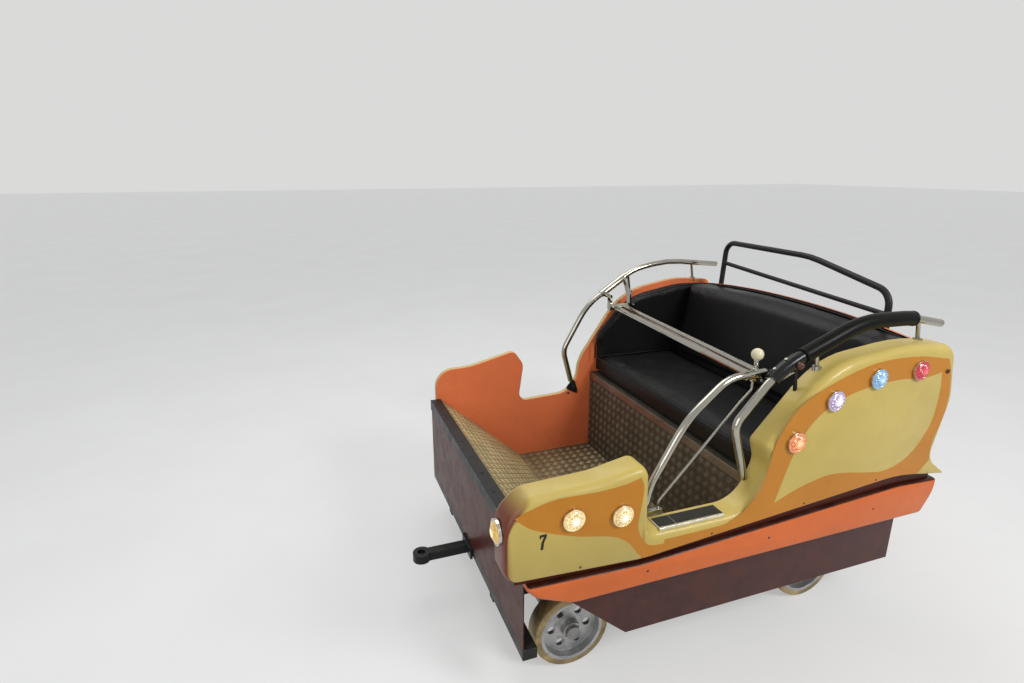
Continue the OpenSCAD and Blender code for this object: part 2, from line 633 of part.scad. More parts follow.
// Stretch of a rail between two stations
function stretch(line, s0, s1) = let(
    a = rail_point(line, s0),
    b = rail_point(line, s1))
    concat([a], [for (p = line) if (station(p) > s0 + 4 && station(p) < s1 - 4
        && p[2] > a[2]) p], [b]);
module post(line, edge, s, y) {
    foot = height_at(edge, s);
    top = rail_point(line, s - 14);
    rod(at(s, y, foot + 3), top, post_r);
    translate(at(s, y, foot - post_sink)) cylinder(r = post_r + 8, h = 6 + post_sink);
}
module outer_rail() color("#c8c8c8") difference() {
    union() {
        sweep(outer_line, rail_r);
        for (s = outer_posts) post(outer_line, outer_edge, s, rail_y);
    }
    moulding_bulk();
}
module moulding_bulk() {
    slab(ring(OUTER), half_width - 1, face_y - rim_depth);
}
module inner_rail() color("#c8c8c8") difference() {
    union() {
        sweep(inner_line, rail_r);
        for (s = inner_posts) post(inner_line, inner_edge, s, -rail_y);
    }
    slab(inner_edge, -half_width - inner_t, -half_width);
}
module rail_sleeve() color("#161616") difference() {
    s = outer_posts[0];
    sweep(stretch(outer_line, foam_from, foam_to), foam_r, rail_r + soft_gap);
    rod(at(s, rail_y, height_at(outer_edge, s)), rail_point(outer_line, s - 14),
        post_r + soft_gap);
}

// Triangular black plate that holds the inner rail's lower end
plate_s = 792;
module rail_brackets() color("#161616") {
    y0 = -half_width;
    slab(ring([[plate_s - 42, 338, 10, 0], [plate_s + 34, 296, 12, 0],
        [plate_s + 4, 396, 14, 0]]), y0, y0 + 6);
    translate(at(plate_s + 2, y0 + 10, 338)) rotate([90, 0, 0]) cylinder(r = 8, h = 4);
}

// Hinge on the inner rail: two ears on a clamp, with the pin between them
ear_w = 10;
ear_r = 16;
module hinge_clamp() color("#b8b8b8") {
    sweep(stretch(inner_line, hinge_from - ear_w - 6, hinge_to + ear_w + 6), rail_r + 5,
        rail_r + soft_gap);
    for (s = [hinge_from - ear_w, hinge_to]) {
        top = rail_point(inner_line, s + ear_w / 2)[2] - floor_z;
        side_y = -rail_y + rail_r + 1;
        translate([datum_x - s - ear_w, 0, floor_z]) rotate([90, 0, 90])
            linear_extrude(ear_w) polygon([[side_y, top + 10], [side_y, top - 14],
                [hinge_y - ear_r, hinge_h + 48], [hinge_y - ear_r, hinge_h],
                [hinge_y + ear_r, hinge_h], [hinge_y + ear_r, hinge_h + 64]]);
        translate(at(s, hinge_y, hinge_h)) rotate([0, -90, 0]) cylinder(r = ear_r, h = ear_w);
    }
    translate(at(hinge_from, hinge_y, hinge_h)) rotate([0, -90, 0])
        cylinder(r = pin_r, h = hinge_to - hinge_from);
}

// Black sleeve on the outer rail, with the cradle that the lap bar comes down on
module latch_housing() color("#1c1c1e") {
    sweep(stretch(outer_line, foam_from - 111, foam_from - 19), rail_r + 9, rail_r + soft_gap);
    cradle_s = fit_to - 14;
    block(cradle_s, cradle_s + 20, fit_y - 12, rail_y - rail_r - 2,
        fit_h - fit_r - 10.5, fit_h - fit_r - 0.5);
    block(cradle_s, cradle_s + 20, rail_y - rail_r - 9, rail_y - rail_r - 2,
        fit_h - fit_r - 1, fit_h + 22);
}

barrel_r = 15;
module lap_bar() color("#d0d0d0") difference() {
    union() {
        translate(at(hinge_from + 5, hinge_y, hinge_h)) rotate([0, -90, 0])
            cylinder(r = barrel_r, h = hinge_to - hinge_from - 10);
        translate(at(fit_from, fit_y, fit_h)) rotate([0, -90, 0])
            cylinder(r = fit_r, h = fit_to - fit_from);
        sweep(bent(path(LAP_FRONT)), bar_r);
        sweep(bent(path(LAP_REAR)), bar_r);
        translate(at(knob_s, fit_y, fit_h)) cylinder(r = 5, h = knob_rise - knob_r + 3);
        block(pin_s - 7, pin_s + 7, fit_y - 6, fit_y + 6, fit_h - fit_r - 8, fit_h);
    }
    translate(at(hinge_from, hinge_y, hinge_h)) rotate([0, -90, 0])
        cylinder(r = pin_r + running_gap, h = hinge_to - hinge_from);
}
module latch_knob() color("#e6dcb8") intersection() {
    translate(at(knob_s, fit_y, knob_h)) sphere(r = knob_r);
    translate(at(knob_s, fit_y, knob_h - knob_r + 3)) cylinder(r = 2 * knob_r, h = 4 * knob_r);
}
module gate_tube() color("#c8c8c8") {
    sweep(bent(path(GATE)), bar_r);
    block(foot_from, foot_to, gate_y - 9, gate_y + 9, foot_top_h - 10, foot_top_h);
}
module gate_rod() color("#b8b8b8") sweep(bent(path(ROD)), rod_r);

// Lamp: shallow cup with a domed lens in it, on a local +Z that faces out
module lamp_cup(r) difference() {
    cylinder(r = r, h = bezel_t);
    translate([0, 0, 3]) cylinder(r = r - lens_margin, h = bezel_t);
}
module lamp_lens(r) {
    a = r - lens_margin - 0.3;
    dome_r = (a * a + dome_t * dome_t) / (2 * dome_t);
    translate([0, 0, 3]) cylinder(r = a, h = bezel_t - 3);
    intersection() {
        translate([0, 0, bezel_t + dome_t - dome_r]) sphere(r = dome_r);
        translate([0, 0, bezel_t]) cylinder(r = a, h = dome_t + 1);
    }
}
lens_margin = 6;
rear_lamp_r = 18;
module side_place(l) translate(at(l[0], face_y, l[1])) rotate([-90, 0, 0]) children();
module nose_place() translate([datum_x - nose_s, nose_lamp_y, floor_z + nose_lamp_h])
    rotate([0, 90, 0]) children();
module rear_place(h) {
    lean = atan((station_at(outer_edge, h + 14) - station_at(outer_edge, h - 14)) / 28);
    translate(at(station_at(outer_edge, h) + fit_gap, half_width + 30, h)) rotate([0, -90 - lean, 0])
        children();
}
nose_lamp_y = half_width + 32;
module side_lens(kind) for (l = LAMPS) if (l[2] == kind) side_place(l) lamp_lens(lamp_r);
module lamp_bezels() color("#b8b0a0") {
    for (l = LAMPS) side_place(l) lamp_cup(lamp_r);
    nose_place() lamp_cup(nose_lamp_r);
    for (h = rear_lamp_h) rear_place(h) lamp_cup(rear_lamp_r);
}
module lens_nose() color("#e0a030") nose_place() lamp_lens(nose_lamp_r);
module lens_red() color("#c02030") {
    side_lens(4);
    for (h = rear_lamp_h) rear_place(h) lamp_lens(rear_lamp_r);
}

chassis_frame();
front_axle();
rear_axle();
wheel_rim(front_axle_s, 1);  // rim_front_outer
wheel_rim(front_axle_s, -1);  // rim_front_inner
wheel_rim(rear_axle_s, 1);  // rim_rear_outer
wheel_rim(rear_axle_s, -1);  // rim_rear_inner
wheel_tyre(front_axle_s, 1);  // tyre_front_outer
wheel_tyre(front_axle_s, -1);  // tyre_front_inner
wheel_tyre(rear_axle_s, 1);  // tyre_rear_outer
wheel_tyre(rear_axle_s, -1);  // tyre_rear_inner
drawbar();
rear_clevis();
arm_bracket();
floor_plate();
foot_board();
front_beam();
front_panel();
outer_panel();
outer_liner();
inner_panel();
outer_skirt();
inner_skirt();
waist_band();
seat_box();
seat_edge();
seat_cushion();
backrest_pad();
side_pads();
backrest_shell();
rear_guard();
sill_tread();
outer_rail();
rail_sleeve();
inner_rail();
rail_brackets();
hinge_clamp();
latch_housing();
lap_bar();
gate_tube();
gate_rod();
latch_knob();
lamp_bezels();
color("#ffe8b0") side_lens(0);  // lens_warm
color("#f07030") side_lens(1);  // lens_orange
color("#e8e0ff") side_lens(2);  // lens_white
color("#90b8f0") side_lens(3);  // lens_blue
lens_red();
lens_nose();
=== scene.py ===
"""Looks of an open-sided ride car for two riders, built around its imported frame.

Stations run backwards from the front of the side panels and heights run up from the floor
plate, both in millimetres. Meshes are in metres: +X forward, +Y the boarding side, +Z up.
"""
from __future__ import annotations

import logging
import math
from dataclasses import dataclass, field
from enum import Enum
from typing import Any, Iterable, Sequence

import bmesh
import bpy
from mathutils import Matrix, Vector
from mathutils.bvhtree import BVHTree


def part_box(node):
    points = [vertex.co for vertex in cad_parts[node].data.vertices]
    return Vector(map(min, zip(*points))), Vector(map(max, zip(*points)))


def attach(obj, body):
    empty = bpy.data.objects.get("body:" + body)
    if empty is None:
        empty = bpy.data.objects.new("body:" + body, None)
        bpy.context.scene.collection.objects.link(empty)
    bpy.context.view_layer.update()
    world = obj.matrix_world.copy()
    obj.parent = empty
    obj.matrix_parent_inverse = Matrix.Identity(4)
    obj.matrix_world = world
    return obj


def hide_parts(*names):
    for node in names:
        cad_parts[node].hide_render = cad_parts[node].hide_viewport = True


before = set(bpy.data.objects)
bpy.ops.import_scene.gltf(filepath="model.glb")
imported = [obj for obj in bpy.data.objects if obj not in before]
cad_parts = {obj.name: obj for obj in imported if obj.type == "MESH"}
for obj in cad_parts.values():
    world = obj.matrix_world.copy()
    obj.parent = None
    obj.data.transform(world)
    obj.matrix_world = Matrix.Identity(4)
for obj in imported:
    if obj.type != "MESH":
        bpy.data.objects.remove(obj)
log = logging.getLogger("ride_car")

MM = 0.001
DATUM_X = 800.0
FLOOR_Z = 230.0
HALF_WIDTH = 630.0
FACE_Y = 715.0
WALL_Y = 624.0
SEAT_S = 893.0
SEAT_H = 415.0
BACK_S = 1562.0
FOOT_S = 492.0
BEAM_S = 80.0
BEAM_H = 370.0
SKIRT_Y = 690.0
RIM_S = 1568.4
RIM_H = 892.0
ARCH_DROP = 42.0
MERGE = 0.02
SINK = 0.3
Colour = tuple[float, float, float]
Point2 = tuple[float, float]


def at(station: float, across: float, height: float) -> Vector:
    """Returns the place of a station, a distance from the middle and a height, in metres."""
    return Vector((DATUM_X - station, across, FLOOR_Z + height)) * MM


def rim_height(across: float) -> float:
    """Returns the height of the arched rim behind the backrest."""
    return RIM_H - ARCH_DROP * (abs(across) / HALF_WIDTH) ** 2.2


class Body(Enum):
    """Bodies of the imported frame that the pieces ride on."""

    CAR = "car"
    GATE = "gate"
    FRONT_OUTER = "wheel_front_outer"
    FRONT_INNER = "wheel_front_inner"
    REAR_OUTER = "wheel_rear_outer"
    REAR_INNER = "wheel_rear_inner"


# Shader helpers
@dataclass
class Graph:
    """Places shader nodes in one tree and links them."""

    tree: bpy.types.NodeTree

    def add(self, kind: str, settings: dict[str, Any] | None = None, **inputs: Any) -> Any:
        """Adds one node.

        Args:
            kind: name of the node type.
            settings: properties of the node itself.
            inputs: values or sockets, with spaces in a socket's name written as underscores.

        Returns:
            The new node.
        """
        node = self.tree.nodes.new(kind)
        for key, value in (settings or {}).items():
            setattr(node, key, value)
        for key, value in inputs.items():
            self.feed(node, key.replace("_", " "), value)
        return node

    def feed(self, node: Any, name: str | int, value: Any) -> None:
        """Sets or links one input of a node.

        Args:
            node: the node.
            name: name or number of its input.
            value: a value to set or a socket to link.
        """
        if isinstance(value, bpy.types.NodeSocket):
            self.tree.links.new(value, node.inputs[name])
        else:
            node.inputs[name].default_value = value

    def math(self, operation: str, a: Any, b: Any = 0.0, c: Any = 0.0) -> Any:
        """Adds a Math node.

        Args:
            operation: what it works out.
            a: first value or socket.
            b: second value or socket.
            c: third value or socket.

        Returns:
            Its output.
        """
        node = self.add("ShaderNodeMath", {"operation": operation})
        for index, value in enumerate((a, b, c)):
            self.feed(node, index, value)
        return node.outputs[0]

    def ramp(self, value: Any, low: float, high: float, start: float = 0.0,
             end: float = 1.0) -> Any:
        """Maps a value smoothly from one range to another.

        Args:
            value: value or socket to map.
            low: where the first range starts.
            high: where it ends.
            start: where the second range starts.
            end: where it ends.

        Returns:
            The output.
        """
        node = self.add("ShaderNodeMapRange", {"interpolation_type": "SMOOTHSTEP"})
        for index, item in enumerate((value, low, high, start, end)):
            self.feed(node, index, item)
        return node.outputs[0]

    def mix(self, share: Any, a: Any, b: Any) -> Any:
        """Mixes two colours.

        Args:
            share: share of the second colour, a value or a socket.
            a: first colour or socket.
            b: second colour or socket.

        Returns:
            The output.
        """
        node = self.add("ShaderNodeMix", {"data_type": "RGBA"})
        self.feed(node, 0, share)
        self.feed(node, 6, a if isinstance(a, bpy.types.NodeSocket) else (*a, 1.0))
        self.feed(node, 7, b if isinstance(b, bpy.types.NodeSocket) else (*b, 1.0))
        return node.outputs[2]

    def place(self) -> Any:
        """Returns the object coordinates."""
        return self.add("ShaderNodeTexCoord").outputs["Object"]

    def facing(self, axis: str) -> Any:
        """Returns one component of the surface's direction."""
        normal = self.add("ShaderNodeNewGeometry").outputs["Normal"]
        return self.add("ShaderNodeSeparateXYZ", Vector=normal).outputs[axis]


class Effect:
    """Shader groups that several finishes share, each built once."""

    _made: dict[str, bpy.types.NodeTree] = {}

    @classmethod
    def _group(cls, name: str, inputs: dict[str, float], output: str) -> tuple[Graph, Any, Any]:
        """Starts a node group with number inputs and one number output.

        Args:
            name: name of the group.
            inputs: names of the inputs with their usual values.
            output: name of the output.

        Returns:
            The graph of the new group, the sockets that it is given, and its output node.
        """
        tree = bpy.data.node_groups.new(name, "ShaderNodeTree")
        for key, value in inputs.items():
            socket = tree.interface.new_socket(key, in_out="INPUT", socket_type="NodeSocketFloat")
            socket.default_value = value
        tree.interface.new_socket(output, in_out="OUTPUT", socket_type="NodeSocketFloat")
        graph = Graph(tree)
        given = graph.add("NodeGroupInput").outputs
        cls._made[name] = tree
        return graph, given, graph.add("NodeGroupOutput")

    @classmethod
    def use(cls, graph: Graph, name: str, **inputs: Any) -> Any:
        """Places a shared effect in a material.

        Args:
            graph: graph of the material.
            name: name of the effect.
            inputs: values or sockets of the effect.

        Returns:
            The first output of the effect.
        """
        if name not in cls._made:
            getattr(cls, f"_build_{name}")()
        node = graph.add("ShaderNodeGroup", {"node_tree": cls._made[name]})
        for key, value in inputs.items():
            graph.feed(node, key.replace("_", " "), value)
        return node.outputs[0]

    @classmethod
    def _build_clouds(cls) -> None:
        """Soft uneven patches: Scale per metre, Contrast from 0 to 1."""
        g, given, out = cls._group("clouds", {"Scale": 8.0, "Contrast": 0.5}, "Mask")
        noise = g.add("ShaderNodeTexNoise", Vector=g.place(), Scale=given["Scale"],
                      Detail=5.0, Roughness=0.6)
        half = g.math("MULTIPLY_ADD", given["Contrast"], -0.20, 0.32)
        low, high = g.math("SUBTRACT", 0.5, half), g.math("ADD", 0.5, half)
        g.feed(out, "Mask", g.ramp(noise.outputs[0], low, high))

    @classmethod
    def _build_peel(cls) -> None:
        """Fine waviness of a sprayed or moulded surface: Scale per metre."""
        g, given, out = cls._group("peel", {"Scale": 220.0}, "Height")
        fine = g.add("ShaderNodeTexNoise", Vector=g.place(), Scale=given["Scale"], Detail=2.0)
        broad = g.add("ShaderNodeTexNoise", Vector=g.place(), Detail=1.0,
                      Scale=g.math("MULTIPLY", given["Scale"], 0.07))
        g.feed(out, "Height", g.math("MULTIPLY_ADD", broad.outputs[0], 3.0, fine.outputs[0]))

    @classmethod
    def _build_wear(cls) -> None:
        """Worn edges: Radius in metres, Breakup is the scale of the gaps in the wear."""
        g, given, out = cls._group("wear", {"Radius": 0.003, "Breakup": 60.0}, "Mask")
        soft = g.add("ShaderNodeBevel", {"samples": 4}, Radius=given["Radius"])
        plain = g.add("ShaderNodeNewGeometry")
        dot = g.add("ShaderNodeVectorMath", {"operation": "DOT_PRODUCT"})
        g.feed(dot, 0, soft.outputs[0])
        g.feed(dot, 1, plain.outputs["Normal"])
        edge = g.ramp(dot.outputs["Value"], 0.80, 0.98, 1.0, 0.0)
        noise = g.add("ShaderNodeTexNoise", Vector=g.place(), Scale=given["Breakup"], Detail=4.0)
        g.feed(out, "Mask", g.math("MULTIPLY", edge, g.ramp(noise.outputs[0], 0.45, 0.62)))

    @classmethod
    def _build_scratches(cls) -> None:
        """Fine rubbed lines in two directions: Scale per metre."""
        g, given, out = cls._group("scratches", {"Scale": 30.0}, "Mask")
        lines = []
        for turn, stretch in ((0.4, 14.0), (1.9, 11.0)):
            turned = g.add("ShaderNodeMapping", Vector=g.place(), Rotation=(turn, turn, turn),
                           Scale=(stretch, 1.0, 1.0))
            noise = g.add("ShaderNodeTexNoise", Vector=turned.outputs[0], Scale=given["Scale"],
                          Detail=3.0, Roughness=0.7)
            lines.append(g.ramp(noise.outputs[0], 0.66, 0.74))
        g.feed(out, "Mask", g.math("MAXIMUM", lines[0], lines[1]))

    @classmethod
    def _build_dust(cls) -> None:
        """Dust on faces that look up: Scale per metre."""
        g, given, out = cls._group("dust", {"Scale": 14.0}, "Mask")
        up = g.ramp(g.facing("Z"), 0.2, 0.95)
        noise = g.add("ShaderNodeTexNoise", Vector=g.place(), Scale=given["Scale"], Detail=6.0,
                      Roughness=0.65)
        g.feed(out, "Mask", g.math("MULTIPLY", up, g.ramp(noise.outputs[0], 0.42, 0.75)))


@dataclass(frozen=True)
class Finish:
    """A finish with one Principled shader."""

    name: str

    def build(self) -> bpy.types.Material:
        """Makes the material at its first use.

        Returns:
            The material.
        """
        known = bpy.data.materials.get(f"finish_{self.name}")
        if known:
            return known
        material = bpy.data.materials.new(f"finish_{self.name}")
        material.use_nodes = True
        graph = Graph(material.node_tree)
        shader = material.node_tree.nodes["Principled BSDF"]
        self.dress(graph, shader)
        return material

    def dress(self, g: Graph, shader: Any) -> None:
        """Feeds the shader.

        Args:
            g: graph of the material.
            shader: the shader to feed.
        """

    @staticmethod
    def bump(g: Graph, shader: Any, height: Any, depth: float, strength: float = 1.0) -> None:
        """Feeds the shader's normal from a height.

        Args:
            g: graph of the material.
            shader: the shader to feed.
            height: socket of the height.
            depth: height of a full step, in metres.
            strength: share of the effect.
        """
        node = g.add("ShaderNodeBump", Strength=strength, Distance=depth, Height=height)
        g.feed(shader, "Normal", node.outputs[0])


@dataclass(frozen=True)
class Gelcoat(Finish):
    """Glossy moulded plastic: one colour that varies a little, with rubbed and dusty places."""

    colour: Colour = (0.6, 0.5, 0.2)
    second: Colour | None = None
    gloss: float = 0.16
    dusty: float = 0.05
    shine: float = 0.24

    def base(self, g: Graph) -> Any:
        """Returns the colour before wear; a second colour covers the edges of a thick board."""
        patches = Effect.use(g, "clouds", Scale=2.6, Contrast=0.5)
        dark = tuple(0.90 * c for c in self.colour)
        colour = g.mix(patches, dark, self.colour)
        if self.second:
            edge = g.ramp(g.math("ABSOLUTE", g.facing("Y")), 0.66, 0.72, 1.0, 0.0)
            colour = g.mix(edge, colour, self.second)
        return colour

    def dress(self, g: Graph, shader: Any) -> None:
        """Feeds the shader."""
        colour = self.base(g)
        grime = Effect.use(g, "clouds", Scale=15.0, Contrast=0.8)
        rubbed = Effect.use(g, "scratches", Scale=16.0)
        worn = Effect.use(g, "wear", Radius=0.004, Breakup=45.0)
        dust = Effect.use(g, "dust", Scale=9.0)
        dirty = g.mix(g.math("MULTIPLY", g.math("SUBTRACT", 1.0, grime), 0.08), colour,
                      tuple(0.45 * c for c in self.colour))
        pale = tuple(min(1.0, 0.75 * c + 0.10) for c in self.colour)
        scuffed = g.mix(g.math("MULTIPLY", worn, 0.30), dirty, pale)
        g.feed(shader, "Base Color", g.mix(g.math("MULTIPLY", dust, self.dusty), scuffed,
                                           (0.36, 0.32, 0.26)))
        rough = g.math("MULTIPLY_ADD", grime, -0.08, 0.40)
        rough = g.math("MULTIPLY_ADD", rubbed, 0.14, rough)
        g.feed(shader, "Roughness", g.math("MULTIPLY_ADD", dust, 0.2, rough))
        g.feed(shader, "Specular IOR Level", self.shine)
        g.feed(shader, "Coat Weight", self.gloss)
        g.feed(shader, "Coat Roughness", 0.10)
        self.bump(g, shader, Effect.use(g, "peel", Scale=190.0), 0.0002, 0.3)


@dataclass(frozen=True)
class PanelGelcoat(Gelcoat):
    """Gelcoat of the side panel: its lower edge is orange, and the forward-facing flange of its
    nose is dark maroon, partly paint and partly painted shade.
    """

    # Dark maroon of the nose's forward-facing flange: partly paint, partly painted shade.
    nose: Colour = (0.16, 0.030, 0.016)
    edge: Colour = (0.50, 0.20, 0.02)
    edge_from: float = DATUM_X - 1536.0
    edge_to: float = DATUM_X - 384.0
    edge_soft: float = 3.0

    def base(self, g: Graph) -> Any:
        """Returns the colour before wear."""
        colour = super().base(g)
        spot = g.add("ShaderNodeSeparateXYZ", Vector=g.place()).outputs
        # Low forward-facing faces at the nose tip take the dark maroon, partly paint and partly
        # painted shade.
        forward = g.ramp(g.facing("X"), 0.12, 0.38)
        low = g.ramp(spot["Z"], 0.76, 0.85, 1.0, 0.0)
        tip = g.math("MULTIPLY", low, g.ramp(spot["X"], 0.70, 0.78))
        colour = g.mix(g.math("MULTIPLY", forward, tip), colour, self.nose)
        under = g.ramp(g.facing("Z"), -0.30, -0.08, 1.0, 0.0)
        start, end, soft = self.edge_from * MM, self.edge_to * MM, self.edge_soft * MM
        along = g.math("MULTIPLY", g.ramp(spot["X"], start - soft, start),
                       g.ramp(spot["X"], end, end + soft, 1.0, 0.0))
        skirt = g.math("MULTIPLY", along, g.ramp(spot["Z"], 0.66, 0.68, 1.0, 0.0))
        return g.mix(g.math("MULTIPLY", under, skirt), colour, self.edge)


@dataclass(frozen=True)
class BoardGelcoat(Gelcoat):
    """Gelcoat of the side boards, which turn dark on their outer faces below the skirts and all
    round below the floor plate's level.
    """

    below: Colour = (0.045, 0.012, 0.010)
    turn_z: float = 0.415
    floor_z: float = 0.226

    def base(self, g: Graph) -> Any:
        """Returns the colour before wear."""
        spot = g.add("ShaderNodeSeparateXYZ", Vector=g.place()).outputs
        under = g.ramp(spot["Z"], self.turn_z - 0.006, self.turn_z + 0.006, 1.0, 0.0)
        outside = g.ramp(g.math("MULTIPLY", g.facing("Y"), spot["Y"]), 0.05, 0.20)
        floor = g.ramp(spot["Z"], self.floor_z - 0.004, self.floor_z, 1.0, 0.0)
        dark = g.math("MAXIMUM", g.math("MULTIPLY", under, outside), floor)
        return g.mix(dark, super().base(g), self.below)


@dataclass(frozen=True)
class SkirtGelcoat(Gelcoat):
    """Gelcoat of the skirts, whose upward-facing ledges under the panels carry painted shade."""

    # Painted shade of the ledges under the panels' overhang.
    ledge_shade: Colour = (0.026, 0.006, 0.004)

    def base(self, g: Graph) -> Any:
        """Returns the colour before wear."""
        # Faces that look up take the painted shade.
        return g.mix(g.ramp(g.facing("Z"), 0.45, 0.75), super().base(g), self.ledge_shade)


@dataclass(frozen=True)
class RimGelcoat(Gelcoat):
    """Gelcoat of the backrest's shell, covered in black where it faces the pad."""

    cover: Colour = (0.006, 0.006, 0.006)

    def base(self, g: Graph) -> Any:
        """Returns the colour before wear."""
        return g.mix(g.ramp(g.facing("X"), 0.30, 0.60), super().base(g), self.cover)


@dataclass(frozen=True)
class Chrome(Finish):
    """Polished plating with finger marks, a few pits and fine rubbed lines; its usual tint is
    darker and more olive than clean chrome, partly its own colour and partly painted reflection of
    dark surroundings.
    """

    # Partly painted reflection: darker and more olive than clean chrome.
    tint_and_reflection: Colour = (0.42, 0.405, 0.35)
    rough: float = 0.09

    def dress(self, g: Graph, shader: Any) -> None:
        """Feeds the shader."""
        smear = Effect.use(g, "clouds", Scale=24.0, Contrast=0.6)
        lines = Effect.use(g, "scratches", Scale=60.0)
        cells = g.add("ShaderNodeTexVoronoi", Vector=g.place(), Scale=520.0)
        pits = g.ramp(cells.outputs["Distance"], 0.06, 0.16, 1.0, 0.0)
        groups = g.add("ShaderNodeTexNoise", Vector=g.place(), Scale=19.0, Detail=3.0)
        pits = g.math("MULTIPLY", pits, g.ramp(groups.outputs[0], 0.63, 0.72))
        dull = tuple(0.88 * c for c in self.tint_and_reflection)
        colour = g.mix(smear, dull, self.tint_and_reflection)
        g.feed(shader, "Base Color", g.mix(pits, colour, (0.16, 0.12, 0.08)))
        g.feed(shader, "Metallic", g.math("SUBTRACT", 1.0, g.math("MULTIPLY", pits, 0.5)))
        rough = g.math("MULTIPLY_ADD", smear, -0.04, self.rough + 0.05)
        g.feed(shader, "Roughness", g.math("MULTIPLY_ADD", lines, 0.12, rough))
        self.bump(g, shader, g.math("SUBTRACT", 1.0, pits), 0.0001, 0.3)


@dataclass(frozen=True)
class Paint(Finish):
    """Paint on steel, worn to the metal on its edges."""

    colour: Colour = (0.02, 0.02, 0.022)
    rough: float = 0.38
    metal: Colour = (0.30, 0.28, 0.26)

    def dress(self, g: Graph, shader: Any) -> None:
        """Feeds the shader."""
        patches = Effect.use(g, "clouds", Scale=12.0, Contrast=0.8)
        worn = Effect.use(g, "wear", Radius=0.0025, Breakup=90.0)
        dust = Effect.use(g, "dust", Scale=20.0)
        light = tuple(1.4 * c + 0.003 for c in self.colour)
        colour = g.mix(patches, self.colour, light)
        colour = g.mix(g.math("MULTIPLY", dust, 0.16), colour, (0.16, 0.14, 0.11))
        g.feed(shader, "Base Color", g.mix(worn, colour, self.metal))
        g.feed(shader, "Metallic", g.math("MULTIPLY", worn, 0.9))
        rough = g.math("MULTIPLY_ADD", patches, 0.14, self.rough - 0.06)
        g.feed(shader, "Roughness", g.math("MULTIPLY_ADD", dust, 0.25, rough))
        g.feed(shader, "Specular IOR Level", 0.22)
        self.bump(g, shader, Effect.use(g, "peel", Scale=420.0), 0.00012, 0.45)


@dataclass(frozen=True)
class BareMetal(Finish):
    """Bare or cast metal with dirt in patches and a brushed or grained face."""

    colour: Colour = (0.45, 0.44, 0.42)
    dirt: Colour = (0.09, 0.075, 0.055)
    rough: float = 0.42
    grain: float = 160.0
    soil: float = 0.45
    metallic: float = 0.92

    def dress(self, g: Graph, shader: Any) -> None:
        """Feeds the shader."""
        patches = Effect.use(g, "clouds", Scale=9.0, Contrast=0.7)
        soil = g.add("ShaderNodeTexNoise", Vector=g.place(), Scale=33.0, Detail=7.0,
                     Roughness=0.7)
        soiled = g.ramp(soil.outputs[0], 0.50, 0.72)
        worn = Effect.use(g, "wear", Radius=0.002, Breakup=70.0)
        lines = Effect.use(g, "scratches", Scale=34.0)
        colour = g.mix(patches, tuple(0.72 * c for c in self.colour), self.colour)
        colour = g.mix(g.math("MULTIPLY", soiled, self.soil), colour, self.dirt)
        bright = tuple(min(1.0, 1.35 * c) for c in self.colour)
        rubbed = g.math("MAXIMUM", worn, g.math("MULTIPLY", lines, 0.6))
        g.feed(shader, "Base Color", g.mix(g.math("MULTIPLY", rubbed, 0.7), colour, bright))
        g.feed(shader, "Metallic", g.math("MULTIPLY_ADD", soiled, -0.3, self.metallic))
        g.feed(shader, "Roughness", g.math("MULTIPLY_ADD", soiled, 0.22, self.rough))
        self.bump(g, shader, Effect.use(g, "peel", Scale=self.grain), 0.0003, 0.35)


@dataclass(frozen=True)
class Vinyl(Finish):
    """Black upholstery vinyl with a pebbled grain, faint creases and a soft shine."""

    colour: Colour = (0.0045, 0.0045, 0.0045)
    rough: float = 0.38
    grain: float = 520.0
    shine: float = 0.2

    def dress(self, g: Graph, shader: Any) -> None:
        """Feeds the shader."""
        cells = g.add("ShaderNodeTexVoronoi", {"feature": "SMOOTH_F1"}, Vector=g.place(),
                      Scale=self.grain, Smoothness=0.6)
        fold = g.add("ShaderNodeTexNoise", Vector=g.place(), Scale=19.0, Detail=4.0,
                     Distortion=0.5)
        worn = Effect.use(g, "clouds", Scale=4.0, Contrast=0.6)
        lines = Effect.use(g, "scratches", Scale=22.0)
        dust = Effect.use(g, "dust", Scale=11.0)
        light = tuple(1.6 * c + 0.001 for c in self.colour)
        colour = g.mix(worn, self.colour, light)
        g.feed(shader, "Base Color", g.mix(g.math("MULTIPLY", dust, 0.05), colour,
                                           (0.09, 0.085, 0.07)))
        rough = g.math("MULTIPLY_ADD", worn, -0.06, self.rough + 0.04)
        rough = g.math("MULTIPLY_ADD", lines, 0.08, rough)
        g.feed(shader, "Roughness", g.math("MULTIPLY_ADD", dust, 0.10, rough))
        g.feed(shader, "Specular IOR Level", self.shine)
        height = g.math("MULTIPLY_ADD", fold.outputs[0], 1.6, cells.outputs["Distance"])
        self.bump(g, shader, height, 0.0004, 0.4)


@dataclass(frozen=True)
class Tyre(Finish):
    """Cast tread material, darker and dirtier where it rolls."""

    colour: Colour = (0.50, 0.36, 0.16)

    def dress(self, g: Graph, shader: Any) -> None:
        """Feeds the shader."""
        patches = Effect.use(g, "clouds", Scale=14.0, Contrast=0.9)
        lines = Effect.use(g, "scratches", Scale=50.0)
        colour = g.mix(patches, tuple(0.45 * c for c in self.colour), self.colour)
        dirty = g.mix(g.math("MULTIPLY", lines, 0.6), colour, (0.05, 0.045, 0.04))
        g.feed(shader, "Base Color", dirty)
        g.feed(shader, "Roughness", g.math("MULTIPLY_ADD", patches, -0.15, 0.62))
        self.bump(g, shader, Effect.use(g, "peel", Scale=300.0), 0.0003, 0.5)


